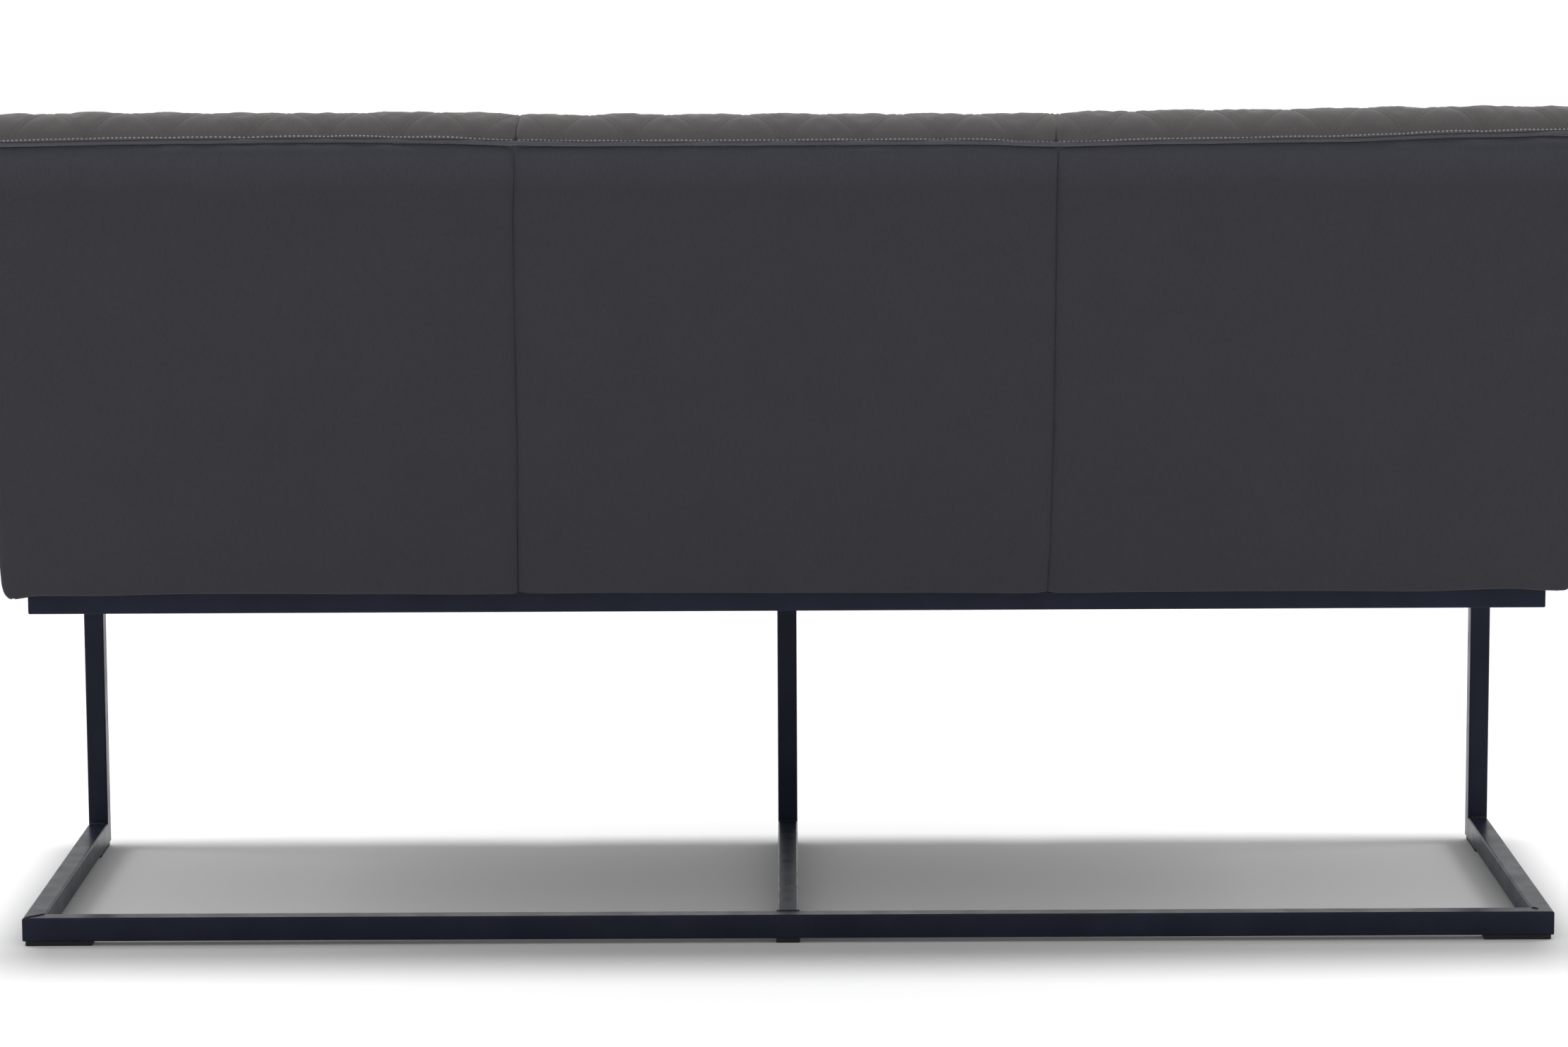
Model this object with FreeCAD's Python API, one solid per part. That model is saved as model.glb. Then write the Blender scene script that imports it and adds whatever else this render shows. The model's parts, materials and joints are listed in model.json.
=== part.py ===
import FreeCAD, Part
import math
import os

# Three-seat dining bench with an upholstered back on a welded steel sled frame.
# Millimetres, +Z up, the sitter faces -Y, left is -X, the floor is z = 0.
# The model is built with y = 0 at the rear face of the floor rail. At the end it is
# shifted along Y, so that the origin lies under the middle of the whole bench.

Vector = FreeCAD.Vector
ORIGIN = Vector(0, 0, 0)
X_AXIS = Vector(1, 0, 0)
Y_AXIS = Vector(0, 1, 0)
Z_AXIS = Vector(0, 0, 1)
SIDES = {"left": -1, "centre": 0, "right": 1}

# Overall sizes
panel_width = 550.0
base_height = 361.0
seat_thickness = 117.0
back_rise = 507.0
seat_front_overhang = 41.0
recline = 14.9
back_set_in = 76.0

# Steel frame
tube_height = 25.0
tube_width = 22.0
tube_wall = 1.5
tube_corner_radius = 2.0
frame_inset = 25.0
leg_reach = 500.0
seat_rail_set_in = 96.0

# Glides
glide_thickness = 5.0
glide_length = 70.0
centre_glide_length = 25.0
glide_margin = 1.5
glide_end_gap = 3.0
glide_stem_diameter = 6.0
glide_stem_height = 4.0
glide_edge = 1.0

# Bolts that hold the frame to the seat
bolt_diameter = 6.0
bolt_head_width = 10.0
bolt_head_height = 4.0
bolt_clearance = 0.3
bolt_end_gap = 1.0
washer_diameter = 12.5
washer_thickness = 1.5
tee_nut_flange = 19.0
tee_nut_flange_thickness = 1.5
tee_nut_barrel = 8.0
tee_nut_length = 12.0
thread_gap = 0.1
bolt_set_in = 50.0

# Timber in the seat and the back
timber_thickness = 22.0
seat_rail_width = 64.0
end_rail_width = 60.0
cross_rail_width = 50.0
corner_block_leg = 55.0
post_width = 50.0
back_timber_thickness = 20.0
back_top_rail_width = 48.0
back_lower_rail_width = 50.0
back_lower_rail_rise = 60.0

# Webbing, and the brackets at the feet of the posts
strap_width = 50.0
strap_thickness = 2.0
strap_bearing = 40.0
seat_straps_per_panel = 4
back_strap_rise_shares = (0.31, 0.5, 0.69)
bracket_width = 36.0
bracket_leg = 34.0
screw_diameter = 4.0
screw_head_diameter = 8.0
screw_length = 16.0
screw_head_height = 2.0
screw_place_share = 2 / 3

# Covers and foam
rear_cover_thickness = 6.0
rear_cover_edge = 3.0
rear_cover_corner_radius = 20.0
side_cover_thickness = 4.0
dust_cover_thickness = 1.0
dust_cover_margin = 14.0
foam_roll_radius = 24.0
quilt_thickness = 12.0
piping_diameter = 5.0
welt_lift = 28.0
fit = 0.3

# Quilting: seven diamonds in a panel, puffed between the sewn lines, and less so where the
# cover is taut over a roll
diamonds_per_panel = 7
diamond_length = 96.0
row_shift_share = 0.5
puff_height = 5.0
taut_puff_share = 0.4
taut_reach = 60.0
side_draw_in = 3.5
quilt_edge_gap = 1.5
end_draw_in = 6.0
end_draw_reach = 25.0
facets_per_side = 3
crown_power = 4
seam_fade_power = 8

# Sizes that follow from those above
bench_width = len(SIDES) * panel_width
inner_half_width = bench_width / 2 - side_cover_thickness
frame_half_width = bench_width / 2 - frame_inset
leg_front = leg_reach + tube_height
bearer_bottom = base_height - tube_height
timber_bottom = base_height + dust_cover_thickness
timber_top = timber_bottom + timber_thickness
foam_bottom = timber_top + strap_thickness
diamond_width = panel_width / diamonds_per_panel
roll_outer_radius = foam_roll_radius + quilt_thickness
seat_foam_top = base_height + seat_thickness - quilt_thickness
seat_foam_front = leg_front + seat_front_overhang - quilt_thickness
back_timber_rear = rear_cover_thickness
back_timber_front = back_timber_rear + back_timber_thickness
back_foam_rear = back_timber_front + strap_thickness
roll_depth = rear_cover_thickness + foam_roll_radius
back_foam_front = roll_depth + foam_roll_radius
back_quilt_front = back_foam_front + quilt_thickness + puff_height + fit
dust_cover_half_width = bench_width / 2 - dust_cover_margin
dust_cover_rear = back_set_in + dust_cover_margin
dust_cover_front = seat_foam_front - dust_cover_margin
cosine = math.cos(math.radians(recline))
sine = math.sin(math.radians(recline))
roll_height = (back_rise - roll_depth * sine - roll_outer_radius) / cosine
back_top_rail_top = roll_height - fit
cut_reach = 2 * bench_width


def block(x_range, forward_range, z_range):
    """A box, with its depth given as distances forward of the floor rail's rear face."""
    size = Vector(x_range[1] - x_range[0], forward_range[1] - forward_range[0], z_range[1] - z_range[0])
    return Part.makeBox(size.x, size.y, size.z, Vector(x_range[0], -forward_range[1], z_range[0]))


def cylinder(diameter, height, place, axis=Z_AXIS):
    return Part.makeCylinder(diameter / 2, height, place, axis)


def trimmed(shape, point, normal):
    """What is left of the shape behind a plane, on the side that its normal points away from."""
    cutter = Part.makeBox(cut_reach, cut_reach, cut_reach, Vector(-cut_reach / 2, -cut_reach / 2, 0))
    cutter.Placement = FreeCAD.Placement(point, FreeCAD.Rotation(Z_AXIS, normal))
    return shape.cut(cutter)


def face_of(edges):
    return Part.Face(Part.Wire(edges))


def polygon(points):
    return face_of([Part.makePolygon(list(points) + [points[0]])])


def lay_back(shape):
    """Move a shape from the upright frame of the back to its reclined place on the seat."""
    reclined = shape.copy()
    reclined.rotate(ORIGIN, X_AXIS, -recline)
    reclined.translate(Vector(0, -back_set_in, base_height))
    return reclined


def back_plane_point(depth):
    """A point on the reclined plane that lies this far in front of the rear of the back."""
    return Vector(0, -back_set_in - depth * cosine, base_height + depth * sine)


FORWARD_NORMAL = Vector(0, -cosine, sine)
REARWARD_NORMAL = -FORWARD_NORMAL


def in_front_of(shape, depth):
    """Trim a shape to what lies in front of a plane parallel to the reclined back."""
    return trimmed(shape, back_plane_point(depth), REARWARD_NORMAL)


def behind(shape, depth):
    """Trim a shape to what lies behind a plane parallel to the reclined back."""
    return trimmed(shape, back_plane_point(depth), FORWARD_NORMAL)


def above(shape, height):
    return trimmed(shape, Vector(0, 0, height), -Z_AXIS)


# Steel frame

def tube(x_range, forward_range, z_range, axis):
    """Rectangular tube with rounded corners, open at both ends."""
    outer = block(x_range, forward_range, z_range)
    long_edges = [edge for edge in outer.Edges if abs(edge.tangentAt(0).dot(axis)) > 0.5]
    outer = outer.makeFillet(tube_corner_radius, long_edges)
    bounds = outer.BoundBox
    corner = Vector(bounds.XMin, bounds.YMin, bounds.ZMin)
    size = Vector(bounds.XLength, bounds.YLength, bounds.ZLength)
    across = Vector(1, 1, 1) - axis
    bore_corner = corner + across * tube_wall - axis * tube_height
    bore_size = size - across * (2 * tube_wall) + axis * (2 * tube_height)
    return outer.cut(Part.makeBox(bore_size.x, bore_size.y, bore_size.z, bore_corner))


def side_frame_range(side):
    """The width that a side's runner, leg and bearer take up."""
    middle = side * (frame_half_width - tube_width / 2)
    return (middle - tube_width / 2, middle + tube_width / 2)


def mitred_corner(side, forward):
    """The outer corner where a rail along X meets a side tube, and the two mitre normals."""
    point = Vector(side * frame_half_width, -forward, 0)
    rail_normal = Vector(side, -1, 0)
    return point, rail_normal, -rail_normal


def cross_rail(forward, bottom):
    """A rail along X, mitred at both ends to the side tubes."""
    ends = (-frame_half_width, frame_half_width)
    rail = tube(ends, (forward, forward + tube_width), (bottom, bottom + tube_height), X_AXIS)
    for side in (-1, 1):
        point, rail_normal, side_normal = mitred_corner(side, forward)
        rail = trimmed(rail, point, rail_normal)
    return rail


def runner_or_bearer(side, rear_forward, bottom, front_corner_z, front_normal):
    """A tube along Y: mitred to the leg, and at the rear mitred, or butted in the middle."""
    start = rear_forward if side else rear_forward + tube_width
    along = tube(side_frame_range(side), (start, leg_front), (bottom, bottom + tube_height), Y_AXIS)
    along = trimmed(along, Vector(0, -leg_front, front_corner_z), front_normal)
    if side:
        point, rail_normal, side_normal = mitred_corner(side, rear_forward)
        along = trimmed(along, point, side_normal)
    return along


def leg(side):
    upright = tube(side_frame_range(side), (leg_reach, leg_front), (glide_thickness, base_height), Z_AXIS)
    upright = trimmed(upright, Vector(0, -leg_front, glide_thickness), Vector(0, 1, -1))
    return trimmed(upright, Vector(0, -leg_front, base_height), Vector(0, 1, 1))


def bolt_places():
    middle = frame_half_width - tube_width / 2
    inner_rear, inner_front = seat_rail_edges()
    return [
        Vector(side * middle, -forward, 0)
        for side in SIDES.values()
        for forward in (inner_rear + bolt_set_in, inner_front - bolt_set_in)
    ]


def drill(shape, diameter, bottom, height, places):
    for place in places:
        shape = shape.cut(cylinder(diameter, height, place + Vector(0, 0, bottom)))
    return shape


# Each glide: middle, length along X, length along Y
def glide_plan():
    short = tube_width - 2 * glide_margin
    side_x = frame_half_width - tube_width / 2
    corner_x = frame_half_width - glide_end_gap - glide_length / 2
    front_y = -(leg_front - glide_end_gap - glide_length / 2)
    rear_y = -tube_width / 2
    return {
        "rear_corner_glides": [(Vector(side * corner_x, rear_y, 0), glide_length, short) for side in (-1, 1)],
        "rear_centre_glide": [(Vector(0, rear_y, 0), centre_glide_length, short)],
        "front_glides": [(Vector(side * side_x, front_y, 0), short, glide_length) for side in SIDES.values()],
    }


def glide(middle, length_x, length_y):
    """A plastic pad with eased edges and a stem that plugs into the tube above it."""
    corner = middle - Vector(length_x / 2, length_y / 2, 0)
    pad = Part.makeBox(length_x, length_y, glide_thickness, corner)
    lower_edges = [edge for edge in pad.Edges if edge.BoundBox.ZMax < glide_thickness / 2]
    pad = pad.makeChamfer(glide_edge, lower_edges)
    stem_height = tube_wall + glide_stem_height
    return pad.fuse(cylinder(glide_stem_diameter, stem_height, middle + Vector(0, 0, glide_thickness)))


def steel_frame():
    glide_places = [place for group in glide_plan().values() for place, length_x, length_y in group]
    stem_hole = glide_stem_diameter + 2 * thread_gap
    bolt_hole = bolt_diameter + 2 * bolt_clearance
    floor_bottom = glide_thickness
    pieces = {
        "floor_rear_rail": cross_rail(0, floor_bottom),
        "seat_rear_rail": cross_rail(seat_rail_set_in, bearer_bottom),
    }
    for name, side in SIDES.items():
        pieces["floor_runner_" + name] = runner_or_bearer(side, 0, floor_bottom, floor_bottom, Vector(0, -1, 1))
        pieces["leg_" + name] = leg(side)
        bearer = runner_or_bearer(side, seat_rail_set_in, bearer_bottom, base_height, Vector(0, -1, -1))
        pieces["seat_bearer_" + name] = drill(bearer, bolt_hole, bearer_bottom, tube_height, bolt_places())
    for node in [node for node in pieces if node.startswith("floor")]:
        pieces[node] = drill(pieces[node], stem_hole, floor_bottom, tube_wall, glide_places)
    inner_end = tube_width / 2
    outer_end = frame_half_width - tube_width
    front_range = (leg_front - tube_width, leg_front)
    rail_z = (bearer_bottom, base_height)
    pieces["seat_front_rail_left"] = tube((-outer_end, -inner_end), front_range, rail_z, X_AXIS)
    pieces["seat_front_rail_right"] = tube((inner_end, outer_end), front_range, rail_z, X_AXIS)
    return pieces


def glides():
    return {node: [glide(*place) for place in places] for node, places in glide_plan().items()}


# Bolts, washers and tee nuts

def hexagon_head(place):
    corner_reach = bolt_head_width / math.sqrt(3)
    corners = [
        place + Vector(corner_reach * math.cos(turn), corner_reach * math.sin(turn), 0)
        for turn in [math.radians(60 * corner) for corner in range(6)]
    ]
    return polygon(corners).extrude(Vector(0, 0, bolt_head_height))


def base_bolt(place):
    head_bottom = bearer_bottom - washer_thickness - bolt_head_height
    shank_bottom = head_bottom + bolt_head_height
    shank_length = timber_top - bolt_end_gap - shank_bottom
    shank = cylinder(bolt_diameter, shank_length, place + Vector(0, 0, shank_bottom))
    return hexagon_head(place + Vector(0, 0, head_bottom)).fuse(shank)


def washer(place):
    bottom = place + Vector(0, 0, bearer_bottom - washer_thickness)
    disc = cylinder(washer_diameter, washer_thickness, bottom)
    return disc.cut(cylinder(bolt_diameter + 2 * bolt_clearance, washer_thickness, bottom))


def tee_nut(place):
    flange_bottom = timber_top - tee_nut_flange_thickness
    barrel_bottom = timber_top - tee_nut_length
    flange = cylinder(tee_nut_flange, tee_nut_flange_thickness, place + Vector(0, 0, flange_bottom))
    barrel = cylinder(tee_nut_barrel, tee_nut_length, place + Vector(0, 0, barrel_bottom))
    bore = cylinder(bolt_diameter + 2 * thread_gap, tee_nut_length, place + Vector(0, 0, barrel_bottom))
    return flange.fuse(barrel).cut(bore)


def base_fasteners():
    return {
        "base_bolts": [base_bolt(place) for place in bolt_places()],
        "base_washers": [washer(place) for place in bolt_places()],
        "base_tee_nuts": [tee_nut(place) for place in bolt_places()],
    }


# Timber seat frame

def drill_for_tee_nuts(rail):
    rail = drill(rail, tee_nut_barrel + 2 * thread_gap, timber_bottom, timber_thickness, bolt_places())
    recess_bottom = timber_top - tee_nut_flange_thickness
    recess = tee_nut_flange + 2 * thread_gap
    return drill(rail, recess, recess_bottom, tee_nut_flange_thickness, bolt_places())


def seat_rail_edges():
    """The inner faces of the rear and front rails. The rear rail carries the whole back."""
    bottom_rise = timber_bottom - base_height
    inner_rear = back_set_in + (back_quilt_front + bottom_rise * sine) / cosine
    return inner_rear, seat_foam_front - seat_rail_width


def corner_block(side, forward, direction):
    """A triangular block glued into a corner of the seat frame."""
    corner = Vector(side * (inner_half_width - end_rail_width), -forward, timber_bottom)
    across = Vector(-side * corner_block_leg, 0, 0)
    along = Vector(0, -direction * corner_block_leg, 0)
    return polygon([corner, corner + across, corner + along]).extrude(Vector(0, 0, timber_thickness))


def seat_timber():
    z_range = (timber_bottom, timber_top)
    full_width = (-inner_half_width, inner_half_width)
    inner_rear, inner_front = seat_rail_edges()
    rear_rail = in_front_of(block(full_width, (0, inner_rear), z_range), back_timber_rear)
    pieces = {
        "seat_frame_rear_rail": drill_for_bracket_screws(rear_rail, post_middles()),
        "seat_frame_front_rail": block(full_width, (inner_front, seat_foam_front), z_range),
    }
    between = (inner_rear, inner_front)
    for name, side in (("left", -1), ("right", 1)):
        edges = sorted((side * inner_half_width, side * (inner_half_width - end_rail_width)))
        pieces["seat_frame_end_rail_" + name] = drill_for_tee_nuts(block(edges, between, z_range))
    for name, side in SIDES.items():
        middle = side * panel_width / 2
        edges = (middle - cross_rail_width / 2, middle + cross_rail_width / 2)
        pieces["seat_frame_cross_rail_" + name] = drill_for_tee_nuts(block(edges, between, z_range))
    pieces["seat_corner_blocks"] = [
        corner_block(side, forward, direction)
        for side in (-1, 1)
        for forward, direction in ((inner_rear, 1), (inner_front, -1))
    ]
    return pieces


# Timber back frame, in the upright frame of the back until lay_back

def back_board(x_range, z_range):
    return block(x_range, (back_timber_rear, back_timber_front), z_range)


def post_middles():
    end = inner_half_width - post_width / 2
    return (-end, -panel_width / 2, panel_width / 2, end)


def back_timber():
    pieces = {}
    rail_bottom = back_top_rail_top - back_top_rail_width
    middles = post_middles()
    for node, middle in zip(("left_end", "left", "right", "right_end"), middles):
        edges = (middle - post_width / 2, middle + post_width / 2)
        post = above(lay_back(back_board(edges, (0, rail_bottom))), timber_top)
        pieces["back_post_" + node] = drill_for_bracket_screws(post, [middle])
    full_width = (-inner_half_width, inner_half_width)
    pieces["back_top_rail"] = lay_back(back_board(full_width, (rail_bottom, back_top_rail_top)))
    lower_z = (back_lower_rail_rise, back_lower_rail_rise + back_lower_rail_width)
    pieces["back_lower_rails"] = [
        lay_back(back_board((start + post_width / 2, end - post_width / 2), lower_z))
        for start, end in zip(middles, middles[1:])
    ]
    return pieces


# Webbing

def seat_straps():
    inner_rear, inner_front = seat_rail_edges()
    rear_end = inner_rear - strap_bearing
    front_end = inner_front + strap_bearing
    z_range = (timber_top, timber_top + strap_thickness)
    pitch = panel_width / (seat_straps_per_panel + 1)
    middles = [
        (side - 0.5) * panel_width + pitch * (place + 1)
        for side in SIDES.values()
        for place in range(seat_straps_per_panel)
    ]
    return [
        block((middle - strap_width / 2, middle + strap_width / 2), (rear_end, front_end), z_range)
        for middle in middles
    ]


def back_straps():
    full_width = (-inner_half_width, inner_half_width)
    depth = (back_timber_front, back_foam_rear)
    rises = [share * roll_height for share in back_strap_rise_shares]
    return [lay_back(block(full_width, depth, (rise, rise + strap_width))) for rise in rises]


# Brackets at the feet of the back posts

def post_foot_rise():
    """How far up the back its posts' front faces meet the top of the seat frame."""
    return (timber_top - base_height - back_timber_front * sine) / cosine


def bracket_corner():
    """Where the front face of a post meets the top of the seat frame."""
    rise = post_foot_rise()
    return back_set_in + back_timber_front * cosine - rise * sine


def drill_for_bracket_screws(timber, middles):
    for middle in middles:
        for pilot in bracket_screws_at(middle, thread_gap):
            timber = timber.cut(pilot)
    return timber


def bracket(middle):
    edges = (middle - bracket_width / 2, middle + bracket_width / 2)
    foot_rise = post_foot_rise()
    upper = block(edges, (back_timber_front, back_foam_rear), (0, foot_rise + bracket_leg))
    upper = above(lay_back(upper), timber_top)
    corner = bracket_corner()
    foot = block(edges, (corner, corner + bracket_leg), (timber_top, timber_top + strap_thickness))
    shape = upper.fuse(foot)
    return drill_for_bracket_screws(shape, [middle]).removeSplitter()


def countersunk_screw(place, direction, gap):
    """A screw that points along the direction, with its flat head flush with the place."""
    head_radius = screw_head_diameter / 2
    shank_radius = screw_diameter / 2 + gap
    head = Part.makeCone(head_radius + gap, shank_radius, screw_head_height, place, direction)
    return head.fuse(Part.makeCylinder(shank_radius, screw_length, place, direction))


def bracket_screws_at(middle, gap=0.0):
    corner = bracket_corner()
    foot_top = Vector(middle, -(corner + bracket_leg * screw_place_share), timber_top + strap_thickness)
    rise = post_foot_rise() + bracket_leg * screw_place_share
    post_place = Vector(middle, -back_foam_rear, rise)
    post_screw = lay_back(countersunk_screw(post_place, Y_AXIS, gap))
    return [countersunk_screw(foot_top, -Z_AXIS, gap), post_screw]


def back_brackets():
    return {
        "back_brackets": [bracket(middle) for middle in post_middles()],
        "bracket_screws": [screw for middle in post_middles() for screw in bracket_screws_at(middle)],
    }


# The roll: every layer of the back turns over the top round one line, and every layer of
# the seat turns down at the front round another. An angle of 0 points to the rear, 90 up
# and 180 to the front.

class Roll:
    """The line that foam and cover follow: a straight lead, an arc and a straight tail."""

    def __init__(self, depth, height, start_angle, lead, tail):
        self.depth = depth
        self.height = height
        self.start = math.radians(start_angle)
        self.lead = lead
        self.arc = roll_outer_radius * (math.pi - self.start)
        self.tail = tail
        self.length = lead + self.arc + tail

    def point(self, x, along, lift):
        """A point this far along the cover's outer side, lifted this far off the foam."""
        on_arc = min(max(along - self.lead, 0), self.arc)
        angle = self.start + on_arc / roll_outer_radius
        straight = along - self.lead - on_arc
        radius = foam_roll_radius + lift
        y = -self.depth + radius * math.cos(angle) - straight * math.sin(angle)
        z = self.height + radius * math.sin(angle) + straight * math.cos(angle)
        return Vector(x, y, z)

    def edges(self, x, lift):
        """Lead, arc and tail at this lift, as the edges of a profile."""
        after_arc = self.lead + self.arc
        stops = [self.point(x, along, lift) for along in (0, self.lead, after_arc, self.length)]
        middle = self.point(x, self.lead + self.arc / 2, lift)
        arc = Part.Arc(stops[1], middle, stops[2]).toShape()
        tail = Part.makeLine(stops[2], stops[3])
        if self.lead:
            return [Part.makeLine(stops[0], stops[1]), arc, tail]
        return [arc, tail]

    def band(self, x_range, lift_range):
        """A solid of even thickness that follows the roll."""
        x = x_range[0]
        lower, upper = lift_range
        ends = [Part.makeLine(self.point(x, at, lower), self.point(x, at, upper)) for at in (0, self.length)]
        edges = Part.__sortEdges__(self.edges(x, lower) + self.edges(x, upper) + ends)
        return face_of(edges).extrude(Vector(x_range[1] - x_range[0], 0, 0))


piping_lift = piping_diameter / 2 + fit
piping_half_angle = math.degrees(math.asin(piping_lift / (foam_roll_radius + piping_lift)))
back_roll = Roll(roll_depth, roll_height, welt_lift + piping_half_angle, 0, roll_height)
seat_roll_forward = seat_foam_front - foam_roll_radius
seat_roll_height = seat_foam_top - foam_roll_radius
seat_roll = Roll(seat_roll_forward, seat_roll_height, 90, seat_roll_forward, seat_roll_height - base_height)


# Foam

def panel_range(side, gap=0.0):
    """A panel's width. The end panels stop at the side covers."""
    start = max((side - 0.5) * panel_width + gap, -inner_half_width)
    end = min((side + 0.5) * panel_width - gap, inner_half_width)
    return start, end


def back_foam(side):
    """A slab in front of the webbing that rolls over the timber top rail to the welt."""
    start, end = panel_range(side)
    roll_edges = back_roll.edges(start, 0)
    welt = back_roll.point(start, 0, 0)
    front_end = back_roll.point(start, back_roll.length, 0)
    rail_rear = Vector(start, -back_timber_rear, roll_height)
    rail_front = Vector(start, -back_foam_rear, roll_height)
    slab_end = Vector(start, -back_foam_rear, front_end.z)
    closing = Part.makePolygon([front_end, slab_end, rail_front, rail_rear, welt])
    profile = face_of(Part.__sortEdges__(roll_edges + closing.Edges))
    return above(lay_back(profile.extrude(Vector(end - start, 0, 0))), foam_bottom)


def seat_foam(side):
    """A slab on the webbing with a rounded front edge, cut to the slope of the back."""
    start, end = panel_range(side)
    slab = block((start, end), (0, seat_foam_front), (foam_bottom, seat_foam_top))
    front_top = [edge for edge in slab.Edges if is_front_top(edge)]
    return in_front_of(slab.makeFillet(foam_roll_radius, front_top), back_quilt_front)


def is_front_top(edge):
    bounds = edge.BoundBox
    at_top = abs(bounds.ZMin - seat_foam_top) < fit and abs(bounds.ZMax - seat_foam_top) < fit
    at_front = abs(bounds.YMin + seat_foam_front) < fit and abs(bounds.YMax + seat_foam_front) < fit
    return at_top and at_front


# Quilted covers

def quilt_lift(roll, x, along, puff):
    """How far the quilted face stands off the foam: crowned, and drawn in at its seams."""
    from_roll = max(roll.lead - along, along - roll.lead - roll.arc, 0)
    slack = min(from_roll / taut_reach, 1)
    puff *= taut_puff_share + (1 - taut_puff_share) * slack
    across = min(1, abs(2 * x / panel_width))
    from_end = min(max(along / end_draw_reach, 0), 1)
    end_loss = end_draw_in * (1 - from_end) ** 2 if not roll.lead else 0
    fading_puff = puff * (1 - across ** seam_fade_power)
    return quilt_thickness - side_draw_in * across ** crown_power - end_loss + fading_puff


def quilt_facets(roll, first, second):
    """The facets of one diamond, between two sewn lines of each slope."""
    steps = facets_per_side
    grid = []
    for row in range(steps + 1):
        points = []
        for column in range(steps + 1):
            rise, fall = row / steps, column / steps
            puff = puff_height * 16 * rise * (1 - rise) * fall * (1 - fall)
            x = ((first + rise + second + fall) / 2 - diamonds_per_panel / 2) * diamond_width
            along = ((first + rise - second - fall) / 2 - row_shift_share) * diamond_length
            points.append(roll.point(x, along, quilt_lift(roll, x, along, puff)))
        grid.append(points)
    facets = []
    for row in range(steps):
        for column in range(steps):
            near, far = grid[row][column], grid[row + 1][column + 1]
            right, left = grid[row + 1][column], grid[row][column + 1]
            facets.append(polygon([near, right, far]))
            facets.append(polygon([near, far, left]))
    return facets


def quilted_cover(roll):
    """One panel: a band along the roll, split by the puffed face of its diamonds."""
    rows = math.ceil(roll.length / diamond_length) + 1
    skin = []
    for first in range(-rows, diamonds_per_panel + 2 * rows):
        for second in range(-2 * rows, diamonds_per_panel + rows):
            across = (first + second + 1) / 2
            along = (first - second) / 2 - row_shift_share
            if 0 <= across <= diamonds_per_panel and -1 < along <= rows:
                skin.extend(quilt_facets(roll, first, second))
    outer = Part.makeShell(skin)
    outer.sewShape()
    half_width = panel_width / 2 - fit
    blank = roll.band((-half_width, half_width), (0, roll_outer_radius))
    pieces = blank.generalFuse([outer])[0].Solids
    inner_point = roll.point(0, roll.length / 2, fit)
    return next(piece for piece in pieces if piece.isInside(inner_point, fit / 2, True))


def hem(x_range, forward_range):
    """The part of a cover that is turned under the seat frame, up to the dust cover."""
    return block(x_range, forward_range, (base_height, timber_bottom))


def quilted_covers():
    back = above(lay_back(quilted_cover(back_roll)), foam_bottom)
    seat = in_front_of(quilted_cover(seat_roll), back_quilt_front)
    pieces = {}
    for name, side in SIDES.items():
        shift = Vector(side * panel_width, 0, 0)
        pieces["back_quilt_" + name] = back.translated(shift)
        turned_under = hem(panel_range(side, fit), (dust_cover_front, seat_foam_front))
        pieces["seat_quilt_" + name] = seat.translated(shift).fuse(turned_under).removeSplitter()
    return pieces


# Plain covers

def rear_cover(side):
    """The plain rear panel: flat, then rolling forward to the welt, with eased seams."""
    start = (side - 0.5) * panel_width + fit
    end = (side + 0.5) * panel_width - fit
    welt = math.radians(welt_lift - piping_half_angle)

    def on_roll(angle, lift):
        radius = foam_roll_radius + lift
        return Vector(start, radius * math.cos(angle) - roll_depth, roll_height + radius * math.sin(angle))

    def turned(lift):
        return Part.Arc(on_roll(0, lift), on_roll(welt / 2, lift), on_roll(welt, lift)).toShape()

    outer_foot = Vector(start, 0, 0)
    inner_foot = Vector(start, -rear_cover_thickness, 0)
    edges = [
        Part.makeLine(outer_foot, on_roll(0, rear_cover_thickness)),
        turned(rear_cover_thickness),
        Part.makeLine(on_roll(welt, rear_cover_thickness), on_roll(welt, 0)),
        turned(0),
        Part.makeLine(on_roll(0, 0), inner_foot),
        Part.makeLine(inner_foot, outer_foot),
    ]
    panel = face_of(edges).extrude(Vector(end - start, 0, 0))
    if side:
        outer_x = start if side < 0 else end
        corner = [edge for edge in panel.Edges if is_outer_foot(edge, outer_x)]
        panel = panel.makeFillet(rear_cover_corner_radius, corner)
    hem_range = (max(start, -dust_cover_half_width), min(end, dust_cover_half_width))
    turned_under = hem(hem_range, (back_set_in + rear_cover_edge, dust_cover_rear))
    return lay_back(eased(panel)).fuse(turned_under).removeSplitter()


def is_outer_foot(edge, outer_x):
    bounds = edge.BoundBox
    at_end = abs(bounds.XMin - outer_x) < fit and abs(bounds.XMax - outer_x) < fit
    return at_end and bounds.ZMax < fit


def eased(panel):
    """Round the seam edges of the outer face, down both sides and along the foot."""
    rear_faces = [face for face in panel.Faces if face.CenterOfMass.y > -fit]
    flat = max(rear_faces, key=lambda face: face.Area)
    edges = [edge for edge in flat.Edges if edge.BoundBox.ZMin < roll_height - fit]
    return panel.makeFillet(rear_cover_edge, edges)


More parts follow.
